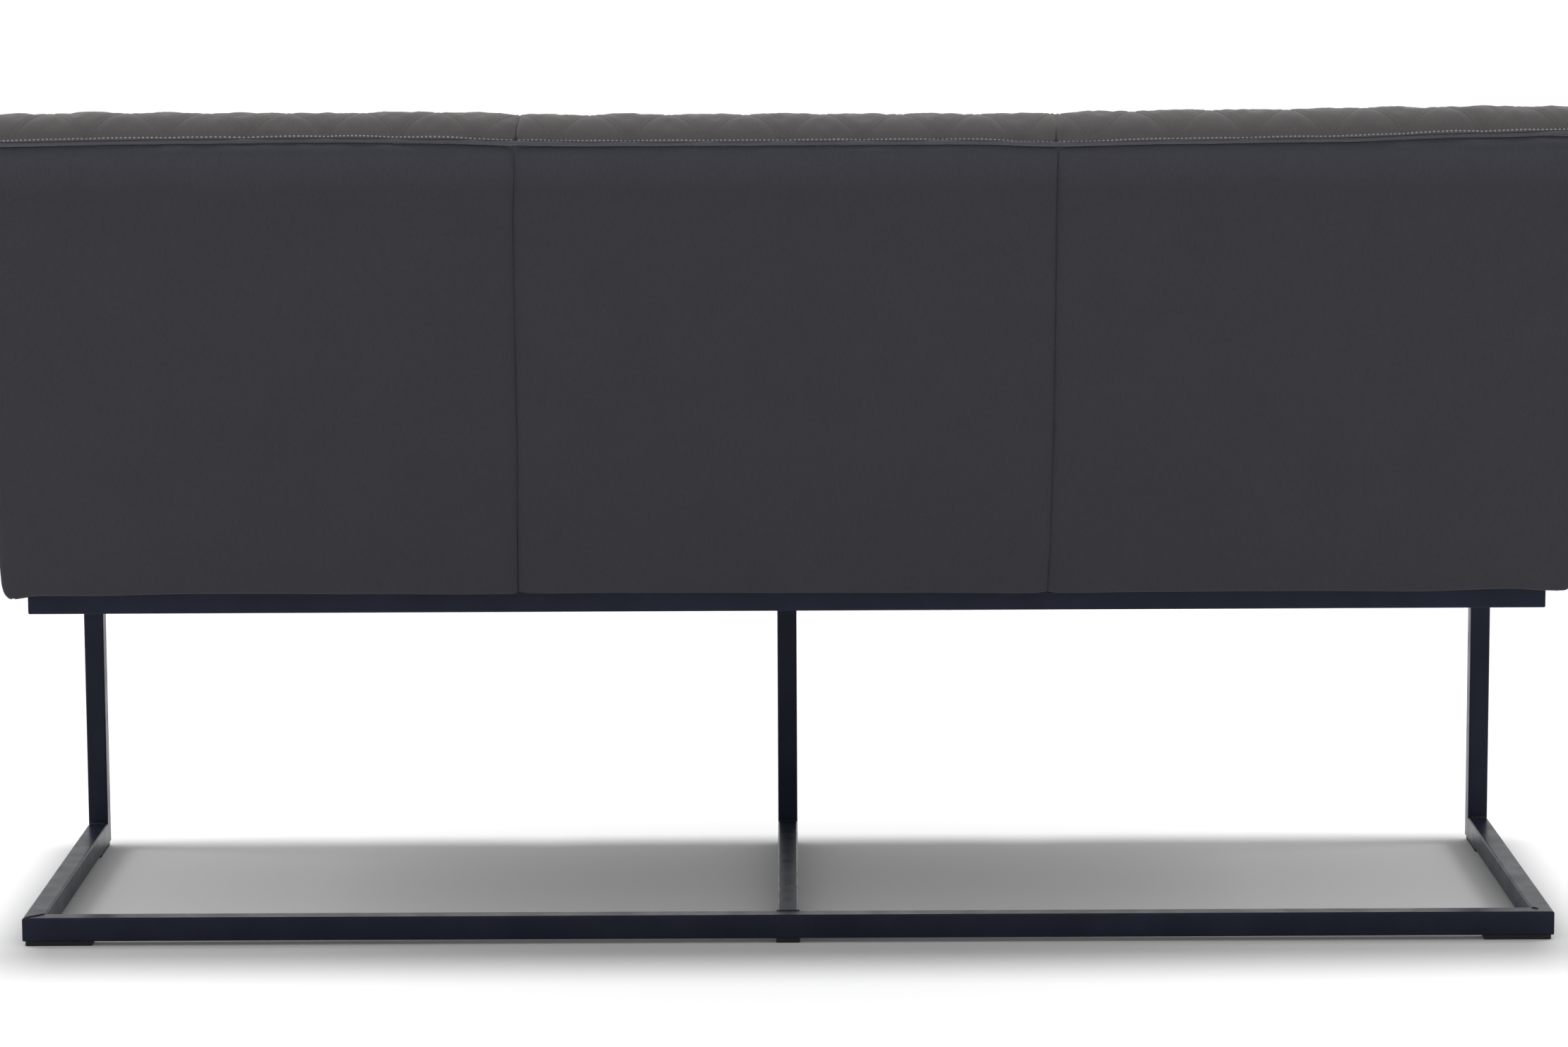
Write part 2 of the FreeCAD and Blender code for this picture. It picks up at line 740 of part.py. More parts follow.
def back_side_cover(x_range, hem_x_range):
    """The end of the back: from the rear cover to the quilted cover, and down to the base."""
    start, end = x_range
    roll_edges = back_roll.edges(start, 0)
    welt = back_roll.point(start, 0, 0)
    front_end = back_roll.point(start, back_roll.length, 0)
    drop = Vector(0, 0, -back_foam_front * sine / cosine)
    rear_top = Vector(start, -back_timber_rear, roll_height)
    rear_foot = Vector(start, -back_timber_rear, front_end.z) + drop
    closing = Part.makePolygon([front_end, front_end + drop, rear_foot, rear_top, welt])
    profile = face_of(Part.__sortEdges__(roll_edges + closing.Edges))
    cover = above(lay_back(profile.extrude(Vector(end - start, 0, 0))), base_height)
    turned_under = hem(hem_x_range, (forward_at_base(back_timber_rear), forward_at_base(back_foam_front)))
    return cover.fuse(turned_under).removeSplitter()


def forward_at_base(depth):
    """Where a plane this deep in the reclined back meets the base."""
    return back_set_in + depth / cosine


def seat_side_cover(x_range, hem_x_range):
    """The end of the seat, cut round the foot of the back."""
    slab = block(x_range, (0, seat_foam_front), (base_height, seat_foam_top))
    front_top = [edge for edge in slab.Edges if is_front_top(edge)]
    slab = slab.makeFillet(foam_roll_radius, front_top)
    slab = in_front_of(slab, back_foam_front + fit)
    quilt_space = block(x_range, (0, seat_foam_front), (foam_bottom - fit, seat_foam_top + seat_thickness))
    quilt_edge = back_foam_front + quilt_thickness - side_draw_in + quilt_edge_gap
    turned_under = hem(hem_x_range, (forward_at_base(back_foam_front + fit), dust_cover_front))
    return slab.cut(behind(quilt_space, quilt_edge)).fuse(turned_under).removeSplitter()


def top_piping():
    """A corded edge sewn into the seam between the rear cover and the quilted cover."""
    angle = math.radians(welt_lift)
    radius = foam_roll_radius + piping_lift
    y = -roll_depth + radius * math.cos(angle)
    z = roll_height + radius * math.sin(angle)
    return lay_back(cylinder(piping_diameter, bench_width, Vector(-bench_width / 2, y, z), X_AXIS))


def dust_cover():
    half_width = dust_cover_half_width
    forward = (dust_cover_rear, dust_cover_front)
    sheet = block((-half_width, half_width), forward, (base_height, timber_bottom))
    hole = tee_nut_barrel + 2 * thread_gap
    return drill(sheet, hole, base_height, dust_cover_thickness, bolt_places())


def plain_covers():
    pieces = {"rear_cover_" + name: rear_cover(side) for name, side in SIDES.items()}
    for name, side in (("left", -1), ("right", 1)):
        x_range = sorted((side * inner_half_width, side * bench_width / 2))
        hem_x_range = sorted((side * dust_cover_half_width, side * inner_half_width))
        pieces["side_cover_back_" + name] = back_side_cover(x_range, hem_x_range)
        pieces["side_cover_seat_" + name] = seat_side_cover(x_range, hem_x_range)
    pieces["top_piping"] = top_piping()
    pieces["dust_cover"] = dust_cover()
    return pieces


# Build, centre and write

def build():
    pieces = {}
    pieces.update(steel_frame())
    pieces.update(glides())
    pieces.update(base_fasteners())
    pieces.update(seat_timber())
    pieces.update(back_timber())
    pieces["seat_webbing"] = seat_straps()
    pieces["back_webbing"] = back_straps()
    pieces.update(back_brackets())
    for name, side in SIDES.items():
        pieces["seat_foam_" + name] = seat_foam(side)
        pieces["back_foam_" + name] = back_foam(side)
    pieces.update(quilted_covers())
    pieces.update(plain_covers())
    return {name: as_shape(piece) for name, piece in pieces.items()}


def as_shape(piece):
    return Part.makeCompound(piece) if isinstance(piece, list) else piece


def write(pieces):
    os.makedirs("parts", exist_ok=True)
    whole = Part.makeCompound(list(pieces.values())).BoundBox
    to_middle = Vector(0, -(whole.YMin + whole.YMax) / 2, 0)
    for name, shape in pieces.items():
        shape.translated(to_middle).exportStep("parts/" + name + ".step")
    print(len(pieces), "nodes, box", [round(size, 1) for size in (whole.XLength, whole.YLength, whole.ZLength)])
    print("shift along Y", round(to_middle.y, 2), "lowest", round(whole.ZMin, 3))


write(build())
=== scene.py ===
import json
import math

import bmesh
import bpy
import numpy as np
from mathutils import Matrix, Vector


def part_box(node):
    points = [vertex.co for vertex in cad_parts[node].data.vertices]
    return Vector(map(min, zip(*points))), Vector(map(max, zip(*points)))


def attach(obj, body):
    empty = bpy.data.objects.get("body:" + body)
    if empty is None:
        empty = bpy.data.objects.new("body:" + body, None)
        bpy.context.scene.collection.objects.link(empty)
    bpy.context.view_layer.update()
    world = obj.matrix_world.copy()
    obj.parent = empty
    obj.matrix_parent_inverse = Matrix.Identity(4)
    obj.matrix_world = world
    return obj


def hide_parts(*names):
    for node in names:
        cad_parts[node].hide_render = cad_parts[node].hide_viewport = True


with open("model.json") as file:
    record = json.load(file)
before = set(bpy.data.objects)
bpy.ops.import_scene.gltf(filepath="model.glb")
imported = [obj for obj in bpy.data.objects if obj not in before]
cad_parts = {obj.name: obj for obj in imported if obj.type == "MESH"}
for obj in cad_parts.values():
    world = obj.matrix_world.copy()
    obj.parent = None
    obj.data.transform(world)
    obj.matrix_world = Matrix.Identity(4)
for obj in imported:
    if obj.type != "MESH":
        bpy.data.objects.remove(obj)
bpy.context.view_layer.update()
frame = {"nodes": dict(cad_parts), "record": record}

# The dining bench's looks. Metres, +Z up, the sitter faces -Y, the photograph looks from +Y.

MM = 0.001
SIDES = {"left": -1, "centre": 0, "right": 1}
ENDS = {"left": -1, "right": 1}

# Places read from the frame
REAR_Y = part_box("floor_rear_rail")[1].y
BASE_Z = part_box("leg_left")[1].z
HALF_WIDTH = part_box("top_piping")[1].x
PANEL_WIDTH = 2 * HALF_WIDTH / len(SIDES)
SEAT_FOAM_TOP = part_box("seat_foam_centre")[1].z
SEAT_FOAM_FRONT = REAR_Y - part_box("seat_foam_centre")[0].y
FOAM_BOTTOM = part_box("seat_foam_centre")[0].z
RAIL_FRONT_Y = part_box("floor_rear_rail")[0].y
RUNNER_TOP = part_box("floor_runner_centre")[1].z
RUNNER_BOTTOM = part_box("floor_runner_centre")[0].z
TUBE_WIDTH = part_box("leg_centre")[1].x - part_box("leg_centre")[0].x
FRAME_HALF_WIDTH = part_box("floor_rear_rail")[1].x
LEG_REAR_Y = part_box("leg_centre")[1].y
BEARER_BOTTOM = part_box("seat_bearer_centre")[0].z
DUST_LOW, DUST_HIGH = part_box("dust_cover")

# Shape of the upholstery, as it is in the solids
RECLINE = math.radians(14.9)
BACK_SET_IN = 76 * MM
BACK_RISE = 507 * MM
FOAM_ROLL_RADIUS = 24 * MM
QUILT_THICKNESS = 12 * MM
REAR_COVER = 6 * MM
SIDE_COVER = 4 * MM
WELT_LIFT = math.radians(28)
PIPING_RADIUS = 2.5 * MM
FIT = 0.3 * MM
ROLL_OUTER_RADIUS = FOAM_ROLL_RADIUS + QUILT_THICKNESS
ROLL_DEPTH = REAR_COVER + FOAM_ROLL_RADIUS
COSINE = math.cos(RECLINE)
SINE = math.sin(RECLINE)
ROLL_HEIGHT = (BACK_RISE - ROLL_DEPTH * SINE - ROLL_OUTER_RADIUS) / COSINE
BACK_FOAM_FRONT = ROLL_DEPTH + FOAM_ROLL_RADIUS
PIPING_LIFT = PIPING_RADIUS + FIT
WELT_RADIUS = FOAM_ROLL_RADIUS + PIPING_LIFT
PIPING_HALF_ANGLE = math.asin(PIPING_LIFT / WELT_RADIUS)
BACK_TAIL_END = 12 * MM
SEAM_GAP = 0.04 * MM
COVER_MARGIN = 0.05 * MM

# Quilting: diamonds, puffed between their sewn lines, and less so where the cover is taut
DIAMONDS = 7
DIAMOND_WIDTH = PANEL_WIDTH / DIAMONDS
DIAMOND_LENGTH = 96 * MM
STEPS = 14
PUFF = 5 * MM
PILLOW_POWER = 0.62
TAUT_PUFF_SHARE = 0.4
TAUT_DRAW_SHARE = 0.5
TAUT_REACH = 60 * MM
SIDE_DRAW_IN = 3.5 * MM
END_DRAW_IN = 7 * MM
END_DRAW_REACH = 25 * MM
SEAM_ROUND = 3.5 * MM
SEAM_DEPTH = 3 * MM
TAUT_SEAM_SHARE = 0.4
REAR_SEAM_EXTRA = 1.8 * MM
REAR_SEAM_REACH = 26 * MM
SEAM_CROWDING = 2.6 * MM
SEAM_CROWDING_REACH = 6 * MM
FACE_WAVES = ((0.35 * MM, 70 * MM), (0.2 * MM, 22 * MM))
CREASE_ROUND = 14 * MM
CREASE_DEPTH = 7 * MM
WELT_FADE = 60 * MM
WELT_OVERLAP = 1.4 * MM
STITCH_RADIUS = 0.36 * MM
WELT_STITCH_RADIUS = 0.75 * MM
WELT_STITCH_PITCH = 4.4 * MM
WELT_STITCH_SHARE = 0.85
WELT_STITCH_SET_IN = 0.3 * MM

# How the cloth swells between its sewn lines in the simulation
SWELL_FRAMES = 18
SWELL_CAP = 2.5 * MM
SWELL_SETTINGS = {
    "vertex_group_mass": "sewn", "quality": 4, "mass": 0.2, "tension_stiffness": 12,
    "compression_stiffness": 12, "shear_stiffness": 6, "bending_stiffness": 0.4,
    "tension_damping": 15, "use_pressure": True, "uniform_pressure_force": 3.0,
    "shrink_min": -0.015,
}

# The welt isn't straight in the photograph: how far it lies above its even line, along X
WELT_STATIONS = np.array([
    -0.825, -0.7, -0.55, -0.4, -0.275, -0.18, 0.1, 0.2, 0.275, 0.35, 0.45, 0.62, 0.825,
])
WELT_WAVE = np.array([6.8, 4.3, 0.3, -0.9, -2.8, -0.4, -0.6, -0.4, 0.8, 3.2, 4.6, 3.8, 1.6]) * MM

# Nor is the crest of the back: how far it lies above its even line
CREST_STATIONS = np.array([
    -0.825, -0.63, -0.5, -0.275, -0.22, -0.1, 0.1, 0.2, 0.275, 0.4, 0.55, 0.72, 0.825,
])
CREST_WAVE = np.array([1.2, 0.9, -1.4, -2.0, -4.4, -3.9, -3.3, -3.6, -0.7, 0.0, -0.5, 0.9, 0.3]) * MM
CREST_ALONG = 40 * MM
CREST_REACH = 45 * MM

# One seam of the quilted cover leans towards the middle of the bench, and its diamonds drift too
SEAM_LEAN = 7 * MM
SEAM_LEAN_AT_WELT = 0.4
SEAM_LEAN_SPREAD = 60 * MM
DRIFT = 8 * MM
DRIFT_MIDDLE = 500 * MM
DRIFT_SPREAD = 85 * MM
LEAN_REACH = 240 * MM

# The seams of the rear cover bow outwards: how far, by height above the seat's base
REAR_SEAM_HEIGHTS = np.array([0, 40, 100, 170, 300, 400, 450]) * MM
REAR_SEAM_BOWS = {
    1: np.array([7.4, 7.0, 5.5, 3.8, 3.2, 2.0, -0.7]) * MM,
    -1: np.array([-1.0, 0.8, 1.8, 2.6, 3.0, 1.6, 2.0]) * MM,
}
REAR_SEAM_SPREAD = 120 * MM

# The foot of the rear cover hangs unevenly over the rail, and lower at both ends
HEM_STATIONS = np.array([
    -0.825, -0.8, -0.76, -0.66, -0.56, -0.4, -0.275, -0.14, 0.0, 0.16,
    0.3, 0.44, 0.55, 0.63, 0.74, 0.782, 0.7975, 0.804, 0.812, 0.825,
])
HEM_SAG = np.array([
    5.4, 4.5, 2.2, 4.6, 3.5, 3.9, 5.0, 3.5, 2.9, 2.2,
    3.3, 2.5, 1.4, 1.3, 3.2, 3.0, 3.9, 5.8, 6.8, 7.1,
]) * MM
HEM_REACH = 58 * MM

# At its lower corners the body is drawn in: how far, by height above the seat's base
TUCK_HEIGHTS = np.array([-7.3, -6.5, -5.2, -3.7, -2, 1, 4, 7, 11, 20, 30]) * MM
TUCK_WIDTHS = np.array([10, 7, 5.3, 4.1, 3, 1.9, 1.3, 0.7, 0.4, 0.1, 0]) * MM
TUCK_REACH = 45 * MM


def eased(share):
    """From 0 to 1 without corners."""
    share = np.clip(share, 0, 1)
    return share * share * (3 - 2 * share)


def rounded(share):
    """1 at an edge, easing to 0 like a quarter circle, once the share reaches 1."""
    left = 1 - np.clip(share, 0, 1)
    return 1 - np.sqrt(1 - left ** 2)


def smooth_curve(stations, values, x):
    """Values between stations, eased so that the line has no corners."""
    span = np.interp(x, stations, np.arange(len(stations)))
    low = np.clip(np.floor(span).astype(int), 0, len(stations) - 2)
    share = eased(span - low)
    return values[low] * (1 - share) + values[low + 1] * share


def welt_angle(x):
    """How much further round the roll the welt lies here than on its even line."""
    return smooth_curve(WELT_STATIONS, WELT_WAVE, x) / WELT_RADIUS


def hem_sag(x):
    return smooth_curve(HEM_STATIONS, HEM_SAG, x)


def corner_tuck(height):
    """How far the ends are drawn in, at this height above the base of the seat."""
    return np.interp(height, TUCK_HEIGHTS, TUCK_WIDTHS)


def stacked(*parts):
    """Coordinates side by side, as one array of points."""
    return np.stack(np.broadcast_arrays(*parts), axis=-1)


def unit(vectors):
    return vectors / np.linalg.norm(vectors, axis=1)[:, None]


def lay_back(points):
    """From the upright frame of the back to its reclined place."""
    x, y, z = points[..., 0], points[..., 1], points[..., 2]
    turned_y = y * COSINE + z * SINE - BACK_SET_IN + REAR_Y
    turned_z = -y * SINE + z * COSINE + BASE_Z
    return stacked(x, turned_y, turned_z)


def on_seat(points):
    """From distances behind the floor rail's rear face to the frame's own Y."""
    return points + np.array([0, REAR_Y, 0])


class Roll:
    """The line that foam and cover follow: a straight lead, an arc and a straight tail."""

    def __init__(self, depth, height, start_angle, lead, tail, to_frame):
        self.depth = depth
        self.height = height
        self.start = start_angle
        self.lead = lead
        self.arc = ROLL_OUTER_RADIUS * (math.pi - start_angle)
        self.length = lead + self.arc + tail
        self.to_frame = to_frame

    def points(self, x, along, lift):
        on_arc = np.clip(along - self.lead, 0, self.arc)
        angle = self.start + on_arc / ROLL_OUTER_RADIUS
        straight = along - self.lead - on_arc
        radius = FOAM_ROLL_RADIUS + lift
        y = -self.depth + radius * np.cos(angle) - straight * np.sin(angle)
        z = self.height + radius * np.sin(angle) + straight * np.cos(angle)
        return self.to_frame(stacked(x, y, z))


SEAT_LEAD = SEAT_FOAM_FRONT - FOAM_ROLL_RADIUS
SEAT_ROLL_HEIGHT = SEAT_FOAM_TOP - FOAM_ROLL_RADIUS
back_roll = Roll(
    ROLL_DEPTH, ROLL_HEIGHT, WELT_LIFT + PIPING_HALF_ANGLE, 0, ROLL_HEIGHT - BACK_TAIL_END, lay_back,
)
seat_roll = Roll(
    SEAT_LEAD, SEAT_ROLL_HEIGHT, math.pi / 2, SEAT_LEAD, SEAT_ROLL_HEIGHT - BASE_Z, on_seat,
)


# Smooth random waves, always the same

def waves(points, scale, seed, count=24):
    """A smooth value from about -1 to 1 at each point, with features of this scale."""
    rng = np.random.default_rng(seed)
    directions = unit(rng.normal(size=(count, 3)))
    rates = 2 * math.pi / scale * rng.uniform(0.6, 1.4, count)
    phases = rng.uniform(0, 2 * math.pi, count)
    total = np.sin(points @ (directions * rates[:, None]).T + phases).sum(axis=-1)
    return total / math.sqrt(count)


def waves_along(value, scale, seed):
    """The same, along one line."""
    return waves(stacked(value, 0, 0), scale, seed)


# Meshes

def in_scene(name, data):
    made = bpy.data.objects.new(name, data)
    bpy.context.scene.collection.objects.link(made)
    return made


def piece(name, vertices, faces, slot, nodes=(), material=None, smooth=True):
    """A closed mesh as a piece of the bench, standing for the nodes that it replaces."""
    mesh = bpy.data.meshes.new(name)
    mesh.from_pydata([tuple(v) for v in vertices], [], [tuple(f) for f in faces])
    work = bmesh.new()
    work.from_mesh(mesh)
    bmesh.ops.recalc_face_normals(work, faces=work.faces)
    work.to_mesh(mesh)
    work.free()
    mesh.polygons.foreach_set("use_smooth", [smooth] * len(mesh.polygons))
    mesh.materials.append(material or materials[slot])
    made = in_scene(name, mesh)
    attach(made, "root")
    if nodes:
        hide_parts(*nodes)
    return made


def joined(*shells):
    """Shells, each of vertices and faces, as one mesh."""
    vertices, faces = [], []
    for more_vertices, more_faces in shells:
        faces += [tuple(index + len(vertices) for index in face) for face in more_faces]
        vertices += list(more_vertices)
    return vertices, faces


def edges_of(faces):
    return [edge for face in faces for edge in zip(face, face[1:] + face[:1])]


def closed_sheet(outer, inner, faces):
    """Join an outer and an inner copy of a sheet by a rim along its free edges."""
    count = len(outer)
    edges = dict.fromkeys(edges_of(faces))
    rim = [
        (end, start, start + count, end + count)
        for start, end in edges
        if (end, start) not in edges
    ]
    inner_faces = [tuple(index + count for index in reversed(face)) for face in faces]
    return np.vstack([outer, inner]), faces + inner_faces + rim


def grid_faces(rows, columns):
    return [
        (r * columns + c, r * columns + c + 1, (r + 1) * columns + c + 1, (r + 1) * columns + c)
        for r in range(rows - 1)
        for c in range(columns - 1)
    ]


def swept(rings):
    """A closed tube through rings of points."""
    sides = len(rings[0])
    last = (len(rings) - 1) * sides
    faces = []
    for low in range(0, last, sides):
        high = low + sides
        for side in range(sides):
            after = (side + 1) % sides
            faces.append((low + side, low + after, high + after, high + side))
    faces += [tuple(reversed(range(sides))), tuple(range(last, last + sides))]
    return np.vstack(rings), faces


# Materials

def node_material(name):
    made = bpy.data.materials.new(name)
    made.use_nodes = True
    return made, made.node_tree, made.node_tree.nodes["Principled BSDF"]


def feed(socket, value):
    """Set an input to a value, or link it to another node's output."""
    if isinstance(value, bpy.types.NodeSocket):
        socket.id_data.links.new(value, socket)
    else:
        socket.default_value = value


def fed(node, **inputs):
    for key, value in inputs.items():
        feed(node.inputs[key.replace("_", " ")], value)
    return node


def add(tree, kind, **inputs):
    return fed(tree.nodes.new(kind), **inputs)


def place_of(tree):
    """Object coordinates, the same in every view."""
    return tree.nodes.new("ShaderNodeTexCoord").outputs["Object"]


def noise(tree, place, scale, detail, stretch=(1, 1, 1)):
    mapping = add(tree, "ShaderNodeMapping", Scale=stretch, Vector=place)
    vector = mapping.outputs["Vector"]
    return add(tree, "ShaderNodeTexNoise", Scale=scale, Detail=detail, Vector=vector).outputs["Fac"]


def ramp(tree, value, low, high, dark, light):
    """Colour from dark to light as the value goes from low to high."""
    node = add(tree, "ShaderNodeValToRGB", Fac=value)
    for stop, position, colour in zip(node.color_ramp.elements, (low, high), (dark, light)):
        stop.position = position
        stop.color = (*colour, 1)
    return node.outputs["Color"]


def mix(tree, first, second, share, blend="MIX"):
    node = tree.nodes.new("ShaderNodeMix")
    node.data_type = "RGBA"
    node.blend_type = blend
    return fed(node, Factor=share, A=first, B=second).outputs["Result"]


def math_node(tree, operation, first, second):
    node = tree.nodes.new("ShaderNodeMath")
    node.operation = operation
    feed(node.inputs[0], first)
    feed(node.inputs[1], second)
    return node.outputs["Value"]


def bump(tree, height, strength, distance, normal=None):
    node = add(tree, "ShaderNodeBump", Strength=strength, Distance=distance, Height=height)
    if normal:
        fed(node, Normal=normal)
    return node.outputs["Normal"]


def threads(tree, place, pitch):
    """The height of a plain weave: threads along X, and threads across them."""
    parts = add(tree, "ShaderNodeSeparateXYZ", Vector=place).outputs
    turn = 2 * math.pi / pitch
    across = math_node(tree, "ADD", parts["Y"], parts["Z"])
    warp = math_node(tree, "SINE", math_node(tree, "MULTIPLY", parts["X"], turn), 0)
    weft = math_node(tree, "SINE", math_node(tree, "MULTIPLY", across, turn), 0)
    return math_node(tree, "MULTIPLY", warp, weft)


def shades(colour, *factors):
    """The colour made darker or lighter by each factor."""
    return [tuple(channel * factor for channel in colour) for factor in factors]


def painted_light_above(tree, place, colour, low, high, tint):
    """The colour, multiplied by a tint that rises from nothing at the low height to full at the high
    one: painted light, standing for the light the cloth catches where it turns up over the roll.
    """
    height = add(tree, "ShaderNodeSeparateXYZ", Vector=place).outputs["Z"]
    rise = add(tree, "ShaderNodeMapRange", Value=height, From_Min=low, From_Max=high)
    return mix(tree, colour, (*tint, 1), rise.outputs["Result"], "MULTIPLY")


def cloth(name, colour, weave, sheen, contrast=0.25, roughness=0.9, nap=0.0, painted_top_light=None):
    """Woven or napped upholstery cloth: a fine melange, short flecks and a faint drift of shade."""
    made, tree, shader = node_material(name)
    place = place_of(tree)
    melange = shades(colour, 1 - contrast, 1 + contrast)
    fine = ramp(tree, noise(tree, place, 900, 2), 0.35, 0.65, *melange)
    flecks = ramp(tree, noise(tree, place, 520, 2, (1, 0.3, 0.3)), 0.32, 0.68, *melange)
    drift = ramp(tree, noise(tree, place, 16, 4), 0.3, 0.7, *shades(colour, 0.95, 1.05))
    shade = mix(tree, mix(tree, fine, flecks, 0.5), drift, 0.5)
    # Painted light: a paler tint between two heights, for the light the cloth catches where it turns
    # up to face it
    if painted_top_light:
        shade = painted_light_above(tree, place, shade, *painted_top_light)
    woven = bump(tree, threads(tree, place, weave), 0.35, 0.15 * MM)
    fuzz = bump(tree, noise(tree, place, 1400, 2), 0.3, 0.12 * MM, woven)
    if nap:
        fuzz = bump(tree, noise(tree, place, 42, 3), nap, 1.2 * MM, fuzz)
    fed(
        shader, Base_Color=shade, Roughness=roughness, Normal=fuzz,
        Sheen_Weight=sheen, Sheen_Roughness=0.45, Specular_IOR_Level=0.12,
    )
    return made


def powder_coat(name, colour):
    """Satin powder coat: a fine orange peel, and a little dust in the roughness."""
    made, tree, shader = node_material(name)
    place = place_of(tree)
    fed(
        shader,
        Base_Color=ramp(tree, noise(tree, place, 18, 3), 0.3, 0.7, *shades(colour, 0.85, 1.15)),
        Roughness=ramp(tree, noise(tree, place, 30, 4), 0.3, 0.7, (0.24,) * 3, (0.34,) * 3),
        Normal=bump(tree, noise(tree, place, 1100, 2), 0.12, 0.05 * MM),
        Specular_IOR_Level=0.075,
    )
    return made


def grained(name, grain, spread, dark, light, relief, **values):
    """A hard material, mottled by its grain and roughened by its relief.

    Both are noise of a scale and a detail, and relief has a bump's strength and depth too."""
    made, tree, shader = node_material(name)
    place = place_of(tree)
    scale, detail, strength, depth = relief
    fed(
        shader,
        Base_Color=ramp(tree, noise(tree, place, *grain), *spread, dark, light),
        Normal=bump(tree, noise(tree, place, scale, detail), strength, depth),
        **values,
    )
    return made


def timber(name):
    """Sawn softwood: grain along the timber, and the rough face of the saw."""
    made, tree, shader = node_material(name)
    grain = noise(tree, place_of(tree), 60, 6, (0.12, 1, 1))
    colour = ramp(tree, grain, 0.35, 0.65, (0.42, 0.27, 0.14), (0.72, 0.55, 0.35))
    fed(shader, Base_Color=colour, Roughness=0.75, Normal=bump(tree, grain, 0.3, 0.4 * MM))
    return made


def foam(name):
    made, tree, shader = node_material(name)
    cells = add(tree, "ShaderNodeTexVoronoi", Scale=700, Vector=place_of(tree)).outputs["Distance"]
    colour = ramp(tree, cells, 0.0, 0.7, (0.55, 0.5, 0.36), (0.83, 0.79, 0.64))
    fed(shader, Base_Color=colour, Roughness=0.95, Normal=bump(tree, cells, 0.5, 0.6 * MM))
    return made


RED_GREY = (0.101, 0.093, 0.0945)
CHARCOAL = (0.0435, 0.042, 0.0505)
PLASTIC = (0.008, 0.008, 0.009)
BARE_WELD = (0.013, 0.014, 0.02)
# Painted light: between these heights the plain cloth is tinted paler and bluer, standing for the
# light it catches where it turns up over the roll
PAINTED_TOP_LIGHT = (0.79, 0.828, (1.2, 1.26, 1.3))
BROAD, NARROW = (0.3, 0.7), (0.35, 0.65)

materials = {
    "frame_steel": powder_coat("powder_coat", (0.017, 0.021, 0.036)),
    "glide_plastic": grained(
        "glide_plastic", (60, 2), BROAD, *shades(PLASTIC, 0.9, 1.15),
        (2000, 1, 0.35, 0.1 * MM), Roughness=0.62, Specular_IOR_Level=0.3,
    ),
    "zinc_steel": grained(
        "zinc_steel", (220, 4), NARROW, (0.42, 0.43, 0.44), (0.62, 0.62, 0.63),
        (900, 2, 0.2, 0.05 * MM), Roughness=0.38, Metallic=0.9,
    ),
    "timber": timber("sawn_timber"),
    "webbing": cloth("webbing", (0.03, 0.03, 0.032), 1.6 * MM, 0.05),
    "foam": foam("upholstery_foam"),
    "quilted_fabric": cloth("quilted_fabric", RED_GREY, 0.8 * MM, 0.35, 0.12, 0.92, 0.1),
    # The plain fabric carries painted light: paler and bluer near the top of the roll
    "plain_fabric": cloth("plain_fabric", CHARCOAL, 1.1 * MM, 0.12, 0.2, 0.88, painted_top_light=PAINTED_TOP_LIGHT),
    "piping_fabric": cloth("piping_fabric", (0.085, 0.086, 0.102), 0.9 * MM, 0.2, 0.15),
    "dust_cloth": cloth("dust_cloth", (0.012, 0.012, 0.013), 2.2 * MM, 0.05, 0.3, 0.95),
}
thread = cloth("quilting_thread", (0.128, 0.121, 0.12), 0.5 * MM, 0.2, 0.1, 0.7)
top_thread = cloth("welt_thread", (0.3, 0.3, 0.32), 0.5 * MM, 0.2, 0.1, 0.7)
weld = grained(
    "weld_beads", (240, 3), NARROW, *shades(BARE_WELD, 0.7, 1.3),
    (700, 3, 0.4, 0.3 * MM), Roughness=0.4, Specular_IOR_Level=0.3,
)

for entry in frame["record"]["subparts"]:
    node = frame["nodes"][entry["node"]]
    node.data.materials.clear()
    node.data.materials.append(materials[entry["material_slot"]])


# Quilted covers

